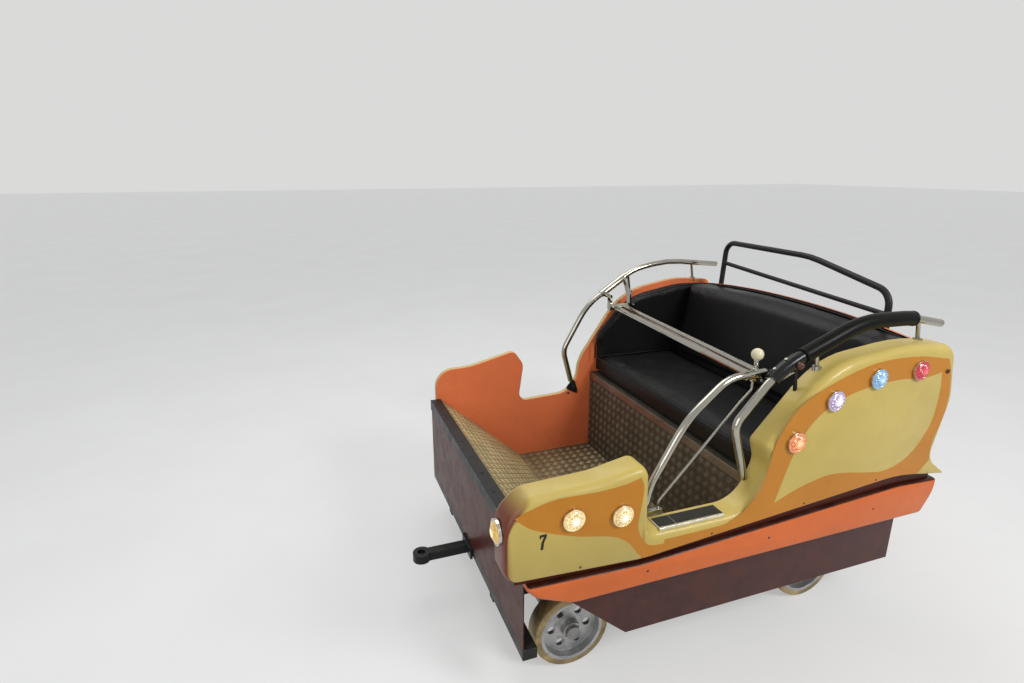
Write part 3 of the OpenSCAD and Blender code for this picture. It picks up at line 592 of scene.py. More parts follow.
@dataclass(frozen=True)
class Lens(Finish):
    """Tinted lens in front of a lit lamp, brightest at its middle."""

    colour: Colour = (0.9, 0.8, 0.5)
    glow: Colour = (1.0, 0.8, 0.45)
    power: float = 0.35

    def dress(self, g: Graph, shader: Any) -> None:
        """Feeds the shader."""
        patches = Effect.use(g, "clouds", Scale=90.0, Contrast=0.8)
        dark = tuple(0.7 * c for c in self.colour)
        g.feed(shader, "Base Color", g.mix(patches, dark, self.colour))
        g.feed(shader, "Roughness", 0.12)
        g.feed(shader, "Coat Weight", 0.8)
        g.feed(shader, "Coat Roughness", 0.04)
        g.feed(shader, "Emission Color", g.mix(patches, tuple(0.5 * c for c in self.glow),
                                               self.glow))
        g.feed(shader, "Emission Strength", self.power)


class Palette:
    """Every finish of the car."""

    CREAM = PanelGelcoat("cream", (0.60, 0.455, 0.118))
    BOARD = BoardGelcoat("board", (0.80, 0.20, 0.075), (0.62, 0.475, 0.20))
    SKIRT = SkirtGelcoat("skirt", (0.72, 0.168, 0.046), None, 0.08, 0.02, 0.14)
    ORANGE = Gelcoat("orange", (0.57, 0.220, 0.016))
    MAROON = Gelcoat("maroon", (0.075, 0.015, 0.008), None, 0.04, 0.0, 0.12)
    BLACK = Paint("black", (0.010, 0.010, 0.010))
    NUMERAL = Paint("numeral", (0.010, 0.010, 0.010), 0.3, (0.02, 0.02, 0.02))
    AXLE = BareMetal("axle", (0.30, 0.29, 0.28), (0.06, 0.045, 0.03), 0.38)
    WHEEL = BareMetal("wheel", (0.48, 0.48, 0.48), (0.08, 0.07, 0.06), 0.40)
    # The yellow of the tread finishes is partly the metal's own tone and partly painted warm
    # light.
    TREAD = BareMetal("tread", (0.52, 0.43, 0.22), (0.26, 0.20, 0.09), 0.44, 120.0, 0.30, 0.6)
    # Darker copies of the tread: painted shade on the floor plate, and deeper painted shade on the
    # seat's riser.
    SHADED_FLOOR_TREAD = BareMetal("floor_tread_shaded", (0.30, 0.25, 0.14), (0.10, 0.08, 0.04), 0.42, 120.0, 0.4, 0.6)
    SHADED_RISER_TREAD = BareMetal("riser_tread_shaded", (0.13, 0.115, 0.085), (0.05, 0.042, 0.03), 0.42, 120.0, 0.4,
                      0.6)
    STRIP = BareMetal("strip", (0.30, 0.25, 0.21), (0.10, 0.085, 0.07), 0.42)
    NOSING = BareMetal("nosing", (0.78, 0.73, 0.56), (0.30, 0.25, 0.15), 0.28, 120.0, 0.25)
    GRIT = Paint("grit", (0.018, 0.017, 0.013), 0.55, (0.05, 0.05, 0.04))
    # Chrome's usual tint is partly painted reflection of dark surroundings.
    CHROME = Chrome("chrome")
    BEZEL = Chrome("bezel", (0.60, 0.56, 0.48), 0.14)
    BLACK_GLOSS = Paint("black_gloss", (0.008, 0.008, 0.008), 0.16, (0.10, 0.10, 0.09))
    RIM = RimGelcoat("rim", (0.80, 0.205, 0.07))
    RUBBER = Gelcoat("rubber", (0.085, 0.022, 0.012), None, 0.5, 0.0)
    VINYL = Vinyl("vinyl")
    WELT = Vinyl("welt", (0.006, 0.006, 0.006), 0.30, 300.0)
    FOAM = Vinyl("foam", (0.0040, 0.0043, 0.0030), 0.30, 300.0, 0.09)
    KNOB = Gelcoat("knob", (0.74, 0.67, 0.45))
    TYRE = Tyre("tyre")
    WARM = Lens("warm", (0.82, 0.60, 0.26), (1.0, 0.68, 0.28), 0.36)
    WARM_BULB = Lens("warm_bulb", (1.0, 0.93, 0.75), (1.0, 0.90, 0.66), 1.0)
    AMBER = Lens("amber", (0.75, 0.47, 0.10), (1.0, 0.60, 0.13), 0.35)
    AMBER_BULB = Lens("amber_bulb", (1.0, 0.85, 0.45), (1.0, 0.82, 0.42), 0.8)
    ORANGE_LENS = Lens("orange_lens", (0.82, 0.24, 0.07), (1.0, 0.27, 0.07), 0.28)
    ORANGE_BULB = Lens("orange_bulb", (1.0, 0.62, 0.30), (1.0, 0.60, 0.30), 0.6)
    WHITE_LENS = Lens("white_lens", (0.50, 0.40, 0.60), (0.42, 0.32, 0.62), 0.22)
    WHITE_BULB = Lens("white_bulb", (0.96, 0.93, 1.0), (0.95, 0.90, 1.0), 1.0)
    BLUE_LENS = Lens("blue_lens", (0.22, 0.44, 0.66), (0.20, 0.46, 0.80), 0.26)
    BLUE_BULB = Lens("blue_bulb", (0.55, 0.76, 0.92), (0.50, 0.74, 0.95), 0.5)
    RED_LENS = Lens("red_lens", (0.50, 0.016, 0.03), (0.85, 0.02, 0.05), 0.2)
    RED_BULB = Lens("red_bulb", (0.85, 0.10, 0.12), (0.95, 0.10, 0.13), 0.45)


def facing(place: Vector, outward: Vector) -> Matrix:
    """Returns the transform that seats a part made along +Z at a place, facing outward."""
    return Matrix.Translation(place) @ outward.to_track_quat("Z", "Y").to_matrix().to_4x4()


def shown(name: str, data: Any) -> bpy.types.Object:
    """Puts something in the scene.

    Args:
        name: name of the new object.
        data: its mesh, curve, lamp or camera.

    Returns:
        The object.
    """
    obj = bpy.data.objects.new(name, data)
    bpy.context.scene.collection.objects.link(obj)
    return obj


def opened(mesh: bpy.types.Mesh) -> bmesh.types.BMesh:
    """Opens a mesh for work.

    Args:
        mesh: the mesh.

    Returns:
        An open copy of it.
    """
    bm = bmesh.new()
    bm.from_mesh(mesh)
    return bm


def closed(name: str, bm: bmesh.types.BMesh) -> bpy.types.Mesh:
    """Turns finished work into a mesh and frees the work.

    Args:
        name: name of the mesh.
        bm: the work.

    Returns:
        The mesh.
    """
    mesh = bpy.data.meshes.new(name)
    bm.to_mesh(mesh)
    bm.free()
    return mesh


def smoothed(bm: bmesh.types.BMesh, factor: float, passes: int = 1) -> None:
    """Evens out a mesh by moving each point towards its neighbours.

    Args:
        bm: the mesh.
        factor: share of the way that a point moves.
        passes: how often.
    """
    for _ in range(passes):
        bmesh.ops.smooth_vert(bm, verts=bm.verts, factor=factor, use_axis_x=True,
                              use_axis_y=True, use_axis_z=True)


def gather(total: bmesh.types.BMesh, part: bmesh.types.BMesh, place: Matrix) -> None:
    """Adds a part to a mesh and frees the part.

    Args:
        total: the mesh that grows.
        part: the part.
        place: the part's place.
    """
    part.transform(place)
    mesh = closed("part", part)
    total.from_mesh(mesh)
    bpy.data.meshes.remove(mesh)


def block(centre: Vector, size: Sequence[float]) -> bmesh.types.BMesh:
    """Makes a block.

    Args:
        centre: its middle, in metres.
        size: its length, width and height, in metres.

    Returns:
        The block.
    """
    bm = bmesh.new()
    bmesh.ops.create_cube(bm, size=1.0)
    bm.transform(Matrix.Translation(centre) @ Matrix.Diagonal((*size, 1.0)))
    return bm


def raised(radius: float, steps: Sequence[Point2], segments: int = 18) -> bmesh.types.BMesh:
    """Raises a round part from a disc along +Z.

    Args:
        radius: radius of the disc, in millimetres.
        steps: how much each step narrows the top and how much it lifts it.
        segments: number of sides.

    Returns:
        The closed mesh.
    """
    bm = bmesh.new()
    bmesh.ops.create_circle(bm, cap_ends=True, segments=segments, radius=radius * MM)
    top = bm.faces[:][0]
    for narrow, lift in steps:
        if narrow > 0:
            bmesh.ops.inset_region(bm, faces=[top], thickness=narrow * MM)
        else:
            grown = bmesh.ops.extrude_face_region(bm, geom=[top])["geom"]
            top = next(item for item in grown if isinstance(item, bmesh.types.BMFace))
        bmesh.ops.translate(bm, verts=top.verts[:], vec=(0, 0, lift * MM))
    bmesh.ops.recalc_face_normals(bm, faces=bm.faces)
    return bm


class Head(Enum):
    """Fastener heads: sides, then steps as shares of the radius."""

    DOME = (14, ((0.0, 0.25), (0.22, 0.20), (0.40, 0.13)))
    SOCKET = (16, ((0.0, 0.85), (0.12, 0.10), (0.36, 0.0), (0.04, -0.45)))
    NUT = (6, ((0.0, 0.70), (0.10, 0.08), (0.36, 0.0), (0.0, 0.45), (0.08, 0.06)))

    def build(self, radius: float) -> bmesh.types.BMesh:
        """Makes the head along +Z, sunk a little into what carries it.

        Args:
            radius: its radius, in millimetres.

        Returns:
            The head.
        """
        sides, steps = self.value
        bm = raised(radius, [(a * radius, b * radius) for a, b in steps], sides)
        bmesh.ops.translate(bm, verts=bm.verts, vec=(0, 0, -SINK * MM))
        return bm


def rounded(corners: Sequence[tuple[Vector, float]], steps: int = 10) -> list[Vector]:
    """Returns an open line through corners, each rounded by its radius.

    Args:
        corners: places and radii in metres; the first and the last are the ends.
        steps: points on each rounded corner.

    Returns:
        The points of the line.
    """
    line = [corners[0][0]]
    for (before, _), (corner, radius), (after, _) in zip(corners, corners[1:], corners[2:]):
        a, b = (corner - before).normalized(), (after - corner).normalized()
        turn = a.angle(b)
        if radius <= 0 or turn < 0.001:
            line.append(corner)
            continue
        centre = corner + (b - a).normalized() * (radius / math.cos(turn / 2))
        arm = corner - a * radius * math.tan(turn / 2) - centre
        axis = a.cross(b).normalized()
        line += [centre + Matrix.Rotation(turn * k / steps, 3, axis) @ arm
                 for k in range(steps + 1)]
    return line + [corners[-1][0]]


def spot_on(line: Sequence[Vector], station: float) -> tuple[Vector, Vector]:
    """Finds the last place where a line passes a station.

    Args:
        line: points of the line, in metres.
        station: the station.

    Returns:
        The place and the direction of the line there.
    """
    x = (DATUM_X - station) * MM
    found = (line[-1], (line[-1] - line[-2]).normalized())
    for p, q in zip(line, line[1:]):
        if p.x >= x > q.x:
            found = (p.lerp(q, (p.x - x) / (p.x - q.x)), (q - p).normalized())
    return found


def stretch(line: Sequence[Vector], start: float, end: float) -> list[Vector]:
    """Returns the part of a line between two stations."""
    first, last = spot_on(line, start)[0], spot_on(line, end)[0]
    return [first] + [p for p in line if last.x < p.x < first.x] + [last]


def curve_mesh(curve: bpy.types.Curve) -> bpy.types.Mesh:
    """Turns a curve into a mesh and removes the curve.

    Args:
        curve: the curve.

    Returns:
        The mesh.
    """
    mesh = baked(shown("curve", curve))
    bpy.data.curves.remove(curve)
    return mesh


def baked(holder: bpy.types.Object) -> bpy.types.Mesh:
    """Bakes an object's modifiers into a new mesh and removes the object.

    Args:
        holder: the object.

    Returns:
        The mesh.
    """
    bpy.context.view_layer.update()
    seen = holder.evaluated_get(bpy.context.evaluated_depsgraph_get())
    mesh = bpy.data.meshes.new_from_object(seen)
    bpy.data.objects.remove(holder)
    return mesh


def tube(line: Sequence[Vector], radius: float, ends: Sequence[Point2] = (),
         sides: int = 4) -> bpy.types.Mesh:
    """Makes a round bar along a line.

    Args:
        line: its middle line, in metres.
        radius: its radius, in millimetres.
        ends: distances from each end, in millimetres, with the share of the radius there.
        sides: a quarter of the number of its sides.

    Returns:
        The mesh, in place.
    """
    points = [(p, 1.0) for p in line]
    if ends:
        first, second = line[0], line[1]
        start = [(first + (second - first).normalized() * gap * MM, share)
                 for gap, share in ends]
        last, before = line[-1], line[-2]
        finish = [(last + (before - last).normalized() * gap * MM, share)
                  for gap, share in reversed(ends)]
        reach = ends[-1][0] * MM
        inner = [item for item in points[1:-1]
                 if min((item[0] - first).length, (item[0] - last).length) > reach * 1.2]
        points = start + inner + finish
    curve = bpy.data.curves.new("tube", "CURVE")
    curve.dimensions = "3D"
    curve.bevel_depth = radius * MM
    curve.bevel_resolution = sides
    curve.use_fill_caps = True
    spline = curve.splines.new("POLY")
    spline.points.add(len(points) - 1)
    for point, (place, share) in zip(spline.points, points):
        point.co = (*place, 1.0)
        point.radius = share
    mesh = curve_mesh(curve)
    bm = opened(mesh)
    bmesh.ops.remove_doubles(bm, verts=bm.verts, dist=MERGE * MM)
    bmesh.ops.recalc_face_normals(bm, faces=bm.faces)
    bm.to_mesh(mesh)
    bm.free()
    return mesh


@dataclass
class Workshop:
    """Makes meshes into pieces and seats them on their bodies."""

    made: int = 0
    sharp: float = 38.0
    flat: float = 0.4

    def piece(self, name: str, mesh: bmesh.types.BMesh | bpy.types.Mesh, finish: Finish,
              slot: str, body: Body = Body.CAR, replaces: Iterable[str] = (),
              smooth: float | None = 35.0, bevel: float = 0.0) -> bpy.types.Object:
        """Finishes one piece.

        Args:
            name: name of the piece.
            mesh: its mesh, in place.
            finish: its finish.
            slot: material slot of the record that it stands for; not used.
            body: body that it rides on.
            replaces: frame nodes that it stands for.
            smooth: largest angle in degrees that shades smoothly, or None for flat.
            bevel: width of the rounding of its sharp edges, in millimetres.

        Returns:
            The new object.
        """
        data = closed(name, mesh) if isinstance(mesh, bmesh.types.BMesh) else mesh
        data.materials.clear()
        data.materials.append(finish.build())
        if smooth is not None:
            data.polygons.foreach_set("use_smooth", [True] * len(data.polygons))
            data.set_sharp_from_angle(angle=math.radians(smooth))
        obj = shown(name, data)
        if bevel > 0:
            rounding = obj.modifiers.new("rounding", "BEVEL")
            rounding.width = bevel * MM
            rounding.segments = 2
            rounding.limit_method = "ANGLE"
            rounding.angle_limit = math.radians(self.sharp)
            rounding.harden_normals = True
        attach(obj, body.value)
        names = list(replaces)
        if names:
            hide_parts(*names)
        self.made += 1
        log.info("%s: %d faces", name, len(data.polygons))
        return obj

    def copy(self, node: str) -> bmesh.types.BMesh:
        """Copies a frame node's mesh, with its flat faces in one piece.

        Args:
            node: name of the node.

        Returns:
            The copy.
        """
        bm = opened(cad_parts[node].data)
        bmesh.ops.remove_doubles(bm, verts=bm.verts, dist=MERGE * MM)
        bmesh.ops.dissolve_limit(bm, angle_limit=math.radians(self.flat), verts=bm.verts,
                                 edges=bm.edges)
        return bm

    def carry(self, node: str, finish: Finish, slot: str, body: Body = Body.CAR,
              bevel: float = 0.0, smooth: float = 35.0) -> bpy.types.Object:
        """Stands a smoothed copy in for a frame node, with rounded edges where wanted."""
        return self.piece(f"{node}_dressed", self.copy(node), finish, slot, body, [node],
                          smooth, bevel)

    def fasteners(self, name: str, head: Head, radius: float,
                  spots: Sequence[tuple[Vector, Vector]], finish: Finish, slot: str,
                  body: Body = Body.CAR) -> bpy.types.Object:
        """Sets a group of equal fastener heads.

        Args:
            name: name of the piece.
            head: kind of head.
            radius: radius of a head, in millimetres.
            spots: places of the heads and the directions that they face.
            finish: their finish.
            slot: material slot of the record.
            body: body that they ride on.

        Returns:
            The new object.
        """
        total = bmesh.new()
        for place, outward in spots:
            gather(total, head.build(radius), facing(place, outward))
        return self.piece(name, total, finish, slot, body, smooth=30)


def smooth_outline(points: Sequence[Point2], corners: Iterable[int] = (),
                   steps: int = 8) -> list[Point2]:
    """Draws a closed outline that runs smoothly through points.

    Args:
        points: the points.
        corners: numbers of the points where it has a corner.
        steps: how many points it has between two of them.

    Returns:
        The outline.
    """
    sharp = set(corners)
    count = len(points)
    line: list[Point2] = []
    for i in range(count):
        p1, p2 = Vector(points[i]), Vector(points[(i + 1) % count])
        p0 = p1 if i in sharp else Vector(points[i - 1])
        p3 = p2 if (i + 1) % count in sharp else Vector(points[(i + 2) % count])
        m1 = (p2 - p0) * 0.5
        m2 = (p3 - p1) * 0.5
        for k in range(steps):
            t = k / steps
            a, b = 2 * t ** 3 - 3 * t ** 2 + 1, t ** 3 - 2 * t ** 2 + t
            c, d = -2 * t ** 3 + 3 * t ** 2, t ** 3 - t ** 2
            q = p1 * a + m1 * b + p2 * c + m2 * d
            line.append((q.x, q.y))
    return line


def flat_piece(outlines: Sequence[Sequence[Point2]], across: float,
               thick: float) -> bpy.types.Mesh:
    """Makes a thin plate parallel to the car's side.

    Args:
        outlines: closed lines of stations and heights; inner ones are holes.
        across: distance of its back from the middle of the car.
        thick: its thickness.

    Returns:
        The mesh, in place.
    """
    curve = bpy.data.curves.new("outline", "CURVE")
    curve.dimensions = "2D"
    curve.fill_mode = "BOTH"
    curve.extrude = thick * MM / 2
    for outline in outlines:
        spline = curve.splines.new("POLY")
        spline.points.add(len(outline) - 1)
        for point, (station, height) in zip(spline.points, outline):
            point.co = ((DATUM_X - station) * MM, (FLOOR_Z + height) * MM, 0.0, 1.0)
        spline.use_cyclic_u = True
    mesh = curve_mesh(curve)
    middle = (across + thick / 2) * MM
    mesh.transform(Matrix.Translation((0, middle, 0)) @ Matrix.Rotation(math.pi / 2, 4, "X"))
    return mesh


@dataclass
class BodyShell:
    """Moulded panels, skirts and the painted fields on the boarding side."""

    shop: Workshop
    paint: float = 0.25
    field_line: list[Point2] = field(default_factory=lambda: [
        (-28, 540), (30, 561), (98, 575), (169, 574), (241, 573), (316, 580), (366, 592),
        (378, 560), (375, 509), (368, 457), (366, 427), (377, 393), (399, 362), (424, 350),
        (462, 348), (463, 361), (665, 363), (709, 372), (752, 392), (785, 424), (812, 463),
        (830, 505), (840, 552), (849, 600), (869, 647), (919, 718), (987, 765), (1067, 799),
        (1141, 824), (1231, 844), (1330, 850), (1431, 846), (1518, 833), (1576, 822),
        (1596, 780), (1609, 723), (1615, 670), (1612, 612), (1599, 566), (1583, 518),
        (1577, 473), (1583, 434), (1560, 410), (1542, 391), (1500, 392), (1440, 396.5),
        (1371, 394.5), (900, 355.5), (398, 315), (373, 330), (345, 369), (309, 400), (266, 418),
        (208, 431), (152, 445), (69, 475), (14, 502)])
    field_corners: tuple[int, ...] = (0, 6, 14, 15, 33, 41, 43, 46, 47, 48)
    rear_line: list[Point2] = field(default_factory=lambda: [
        (879, 401), (903, 480), (930, 560), (962, 624), (1001, 674), (1057, 714), (1124, 742),
        (1198, 759), (1279, 769), (1359, 772), (1436, 766), (1495, 766), (1554, 776),
        (1563, 712), (1562, 639), (1549, 577), (1517, 520), (1472, 472), (1415, 442),
        (1350, 430), (1270, 440), (1173, 457), (1098, 462), (1024, 450), (952, 430)])
    rear_corners: tuple[int, ...] = (0, 12)
    plug: Point2 = (1579, 776)
    edge_screws: tuple[Point2, ...] = ((178, 334), (640, 342), (1010, 373), (1330, 400))
    skirt_screws: tuple[Point2, ...] = ((429, 238), (905, 248), (1380, 258))
    studs: range = range(-560, 561, 140)

    def build(self) -> None:
        """Builds and dresses every piece of the shell."""
        self.shop.carry("outer_panel", Palette.CREAM, "cream", smooth=40)
        self.shop.carry("outer_liner", Palette.BOARD, "coral", bevel=1.5)
        self.shop.carry("inner_panel", Palette.BOARD, "coral", bevel=5.0)
        for node in ("outer_skirt", "inner_skirt"):
            self.shop.carry(node, Palette.SKIRT, "coral", bevel=0.8, smooth=40)
        self.shop.carry("backrest_shell", Palette.RIM, "coral", bevel=0.8, smooth=40)
        for node in ("waist_band", "front_panel"):
            self.shop.carry(node, Palette.MAROON, "maroon", bevel=1.2)
        self.painted_fields()
        self.numeral()
        self.cable_plug()
        self.screws()

    def painted_fields(self) -> None:
        """Lays the orange field on the face, with a hole that leaves the rear patch cream."""
        lines = [smooth_outline(self.field_line, self.field_corners),
                 smooth_outline(self.rear_line, self.rear_corners)]
        mesh = flat_piece(lines, FACE_Y, self.paint)
        self.shop.piece("orange_field", mesh, Palette.ORANGE, "cream", smooth=None)

    def numeral(self) -> None:
        """Draws a plain figure seven with a slanting stem."""
        left, top, width, tall, stroke = 47.0, 472.0, 22.0, 49.0, 7.5
        line = [(left, top), (left + width, top), (left + width, top - stroke),
                (left + 0.62 * width, top - 0.55 * tall), (left + 0.52 * width, top - tall),
                (left + 0.14 * width, top - tall), (left + 0.26 * width, top - 0.52 * tall),
                (left + 0.62 * width, top - stroke), (left + 0.22 * width, top - stroke),
                (left + 0.22 * width, top - 1.6 * stroke), (left, top - 1.6 * stroke)]
        mesh = flat_piece([line], FACE_Y, 0.3)
        self.shop.piece("numeral", mesh, Palette.NUMERAL, "black_steel", smooth=None)

    def cable_plug(self) -> None:
        """Sets a small black socket with a recess near the crown's rear corner."""
        bm = raised(8.5, [(0.0, 3.0), (1.6, 1.2), (1.8, -4.0)], 28)
        place = at(self.plug[0], FACE_Y + self.paint, self.plug[1])
        bm.transform(facing(place, Vector((0, 1, 0))))
        self.shop.piece("cable_plug", bm, Palette.RUBBER, "black_steel", bevel=0.4)

    def screws(self) -> None:
        """Sets the screws of the panel's lower edge, the skirts and the backrest's rim."""
        out = Vector((0, 1, 0))
        edge = [(at(s, FACE_Y, h), out) for s, h in self.edge_screws]
        self.shop.fasteners("panel_screws", Head.DOME, 4.0, edge, Palette.RUBBER, "edge_metal")
        for name, side in (("outer_skirt", 1), ("inner_skirt", -1)):
            spots = [(at(s, side * SKIRT_Y, h), out * side) for s, h in self.skirt_screws]
            self.shop.fasteners(f"{name}_screws", Head.DOME, 4.0, spots, Palette.RUBBER,
                                "edge_metal")
        rim = [(at(RIM_S, y, rim_height(y)), Vector((0, 0, 1))) for y in self.studs]
        self.shop.fasteners("rim_studs", Head.DOME, 3.2, rim, Palette.BEZEL, "edge_metal")


@dataclass
class TreadPattern:
    """Raised bars of five-bar tread plate, in squares that alternate by a quarter turn."""

    pitch: float = 30.0
    bars: int = 5
    length: float = 27.0
    width: float = 4.4
    rise: float = 1.5
    sunk: float = 0.2

    def cell(self, bm: bmesh.types.BMesh, u: float, v: float, turned: bool) -> None:
        """Adds the bars of one square.

        Args:
            bm: the mesh that takes them.
            u: middle of the square along the sheet.
            v: middle of the square across the sheet.
            turned: whether the bars run across.
        """
        gap = self.pitch / self.bars
        half = Vector((self.length / 2, self.width / 2, self.rise + self.sunk)) * MM
        for k in range(self.bars):
            offset = (k - (self.bars - 1) / 2) * gap
            place = Matrix.Translation(Vector((u, v, -self.sunk)) * MM)
            turn = Matrix.Rotation(math.pi / 2 if turned else 0.0, 4, "Z")
            shift = Matrix.Translation(Vector((0, offset, 0)) * MM)
            bmesh.ops.create_uvsphere(bm, u_segments=6, v_segments=4, radius=1.0,
                                      matrix=place @ turn @ shift @ Matrix.Diagonal((*half, 1)))

    def sheet(self, wide: float, deep: float) -> bmesh.types.BMesh:
        """Makes the bars of a flat sheet centred on the origin.

        Args:
            wide: size of the sheet along +X.
            deep: size of the sheet along +Y.

        Returns:
            The bars, trimmed to the sheet.
        """
        bm = bmesh.new()
        for i in range(2):
            for j in range(2):
                self.cell(bm, (i + 0.5) * self.pitch, (j + 0.5) * self.pitch, (i + j) % 2 == 1)
        bmesh.ops.bisect_plane(bm, geom=bm.verts[:] + bm.edges[:] + bm.faces[:],
                               plane_co=(0, 0, -self.sunk * MM), plane_no=(0, 0, 1),
                               clear_inner=True)
        cell = closed("cell", bm)
        holder = shown("cell", cell)
        reach = math.ceil((wide + deep) / math.sqrt(2) / (2 * self.pitch)) + 1
        for axis in range(2):
            rows = holder.modifiers.new("rows", "ARRAY")
            rows.count = reach
            rows.use_relative_offset = False
            rows.use_constant_offset = True
            rows.constant_offset_displace = [2 * self.pitch * MM * (k == axis) for k in range(3)]
        full = baked(holder)
        sheet = opened(full)
        for mesh in (cell, full):
            bpy.data.meshes.remove(mesh)
        half = reach * self.pitch * MM
        sheet.transform(Matrix.Rotation(math.pi / 4, 4, "Z")
                        @ Matrix.Translation((-half, -half, 0)))
        for normal, limit in (((1, 0, 0), wide), ((-1, 0, 0), wide),
                              ((0, 1, 0), deep), ((0, -1, 0), deep)):
            edge = Vector(normal) * (limit / 2 * MM)
            bmesh.ops.bisect_plane(sheet, geom=sheet.verts[:] + sheet.edges[:] + sheet.faces[:],
                                   plane_co=edge, plane_no=normal, clear_outer=True)
        return sheet


@dataclass
class Deck:
    """Tread plates of the footwell and the seat, the edge strip and the sill tread."""

    shop: Workshop
    pattern: TreadPattern = field(default_factory=TreadPattern)
    edge: float = 6.0
    beam_drop: float = 5.0
    slope_edge: float = 14.0
    strip: float = 34.0
    foot: float = 4.0
    rivets: range = range(-560, 600, 140)
    strip_screws: range = range(-540, 560, 180)
    inserts: tuple[Point2, ...] = ((0.012, 0.262), (0.272, 0.988))
    insert: float = 1.2
    insert_rise: float = 0.4
    insert_shift: float = 2.5
    insert_margin: float = 10.0
    ribs: int = 57
    rib: tuple[float, float, float] = (2.1, 7.6, 1.2)
    rib_rise: float = 0.2
    rib_inset: float = 4.8

    def build(self) -> None:
        """Builds and dresses the deck."""
        # The floor plate and the seat's riser take the darker tread finishes, which carry painted
        # shade.
        for node, finish in (("floor_plate", Palette.SHADED_FLOOR_TREAD), ("foot_board", Palette.TREAD),
                             ("seat_box", Palette.SHADED_RISER_TREAD)):
            self.shop.carry(node, finish, "tread_plate", bevel=0.6)
        self.shop.carry("seat_edge", Palette.STRIP, "edge_metal", bevel=0.8)
        self.shop.carry("front_beam", Palette.BLACK, "black_steel", bevel=2.0)
        self.bars("floor_bars", Palette.SHADED_FLOOR_TREAD, (SEAT_S + FOOT_S) / 2, 0, 0.0,
                  SEAT_S - FOOT_S - self.edge)
        rise, run = BEAM_H - self.beam_drop, FOOT_S - BEAM_S
        self.bars("foot_board_bars", Palette.TREAD, (FOOT_S + BEAM_S) / 2, rise / 2,
                  -math.atan2(rise, run), math.hypot(rise, run) - self.slope_edge)
        face = SEAT_H - self.strip - 2 * self.foot
        self.bars("seat_front_bars", Palette.SHADED_RISER_TREAD, SEAT_S, face / 2 + self.foot, math.pi / 2,
                  face)
        self.sill()
        rivets = [(at(BEAM_S - 25, y, BEAM_H), Vector((0, 0, 1))) for y in self.rivets]
        self.shop.fasteners("beam_rivets", Head.DOME, 5.5, rivets, Palette.BLACK, "black_steel")
        screws = [(at(SEAT_S - 3, y, SEAT_H - self.strip / 2), Vector((1, 0, 0)))
                  for y in self.strip_screws]
        self.shop.fasteners("seat_edge_screws", Head.DOME, 4.2, screws, Palette.STRIP,
                            "edge_metal")

    def bars(self, name: str, finish: Finish, station: float, height: float, tilt: float,
             deep: float) -> None:
        """Lays a sheet of bars as wide as the footwell.

        Args:
            name: name of the piece.
            finish: its finish.
            station: station of its middle.
            height: height of its middle.
            tilt: turn about the car's width, in radians.
            deep: its size along the car.
        """
        bm = self.pattern.sheet(HALF_WIDTH + WALL_Y - self.edge, deep)
        bm.transform(Matrix.Translation(at(station, (WALL_Y - HALF_WIDTH) / 2, height))
                     @ Matrix.Rotation(tilt, 4, "Y") @ Matrix.Rotation(math.pi / 2, 4, "Z"))
        self.shop.piece(name, bm, finish, "tread_plate", smooth=50)

    def sill(self) -> None:
        """Makes the sill tread: a black gritty insert in a ribbed bright angle."""
        self.shop.carry("sill_tread", Palette.NOSING, "anti_slip", bevel=0.8)
        low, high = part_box("sill_tread")
        span = high.x - low.x
        for index, (start, end) in enumerate(self.inserts):
            centre = Vector((high.x - (start + end) / 2 * span,
                             (low.y + high.y) / 2 - self.insert_shift * MM,
                             high.z + self.insert_rise * MM))
            size = ((end - start) * span, high.y - low.y - self.insert_margin * MM,
                    self.insert * MM)
            self.shop.piece(f"sill_insert_{index + 1}", block(centre, size), Palette.GRIT,
                            "anti_slip", bevel=0.4)
        ribs = bmesh.new()
        for k in range(self.ribs):
            centre = Vector((low.x + (k + 0.5) / self.ribs * span,
                             high.y - self.rib_inset * MM, high.z + self.rib_rise * MM))
            gather(ribs, block(centre, Vector(self.rib) * MM), Matrix.Identity(4))
        self.shop.piece("sill_ribs", ribs, Palette.NOSING, "anti_slip", smooth=None)


# Middle line of the boarding side's rail
RAIL_LINE = rounded([(at(806, 644, 470), 0.0), (at(744, 644, 668), 0.060),
                     (at(900, 644, 840), 0.300), (at(1230, 644, 968), 0.420),
                     (at(1450, 644, 962), 0.500), (at(1600, 644, 930), 0.0)], 16)


@dataclass(frozen=True)
class Pad:
    """A padded node: where its faces may swell, by how much and above which height."""

    node: str
    free: tuple[tuple[float, float, float], ...]
    rise: float
    above: float = 0.0
    voxel: float = 9.0
    lift: float = 0.0


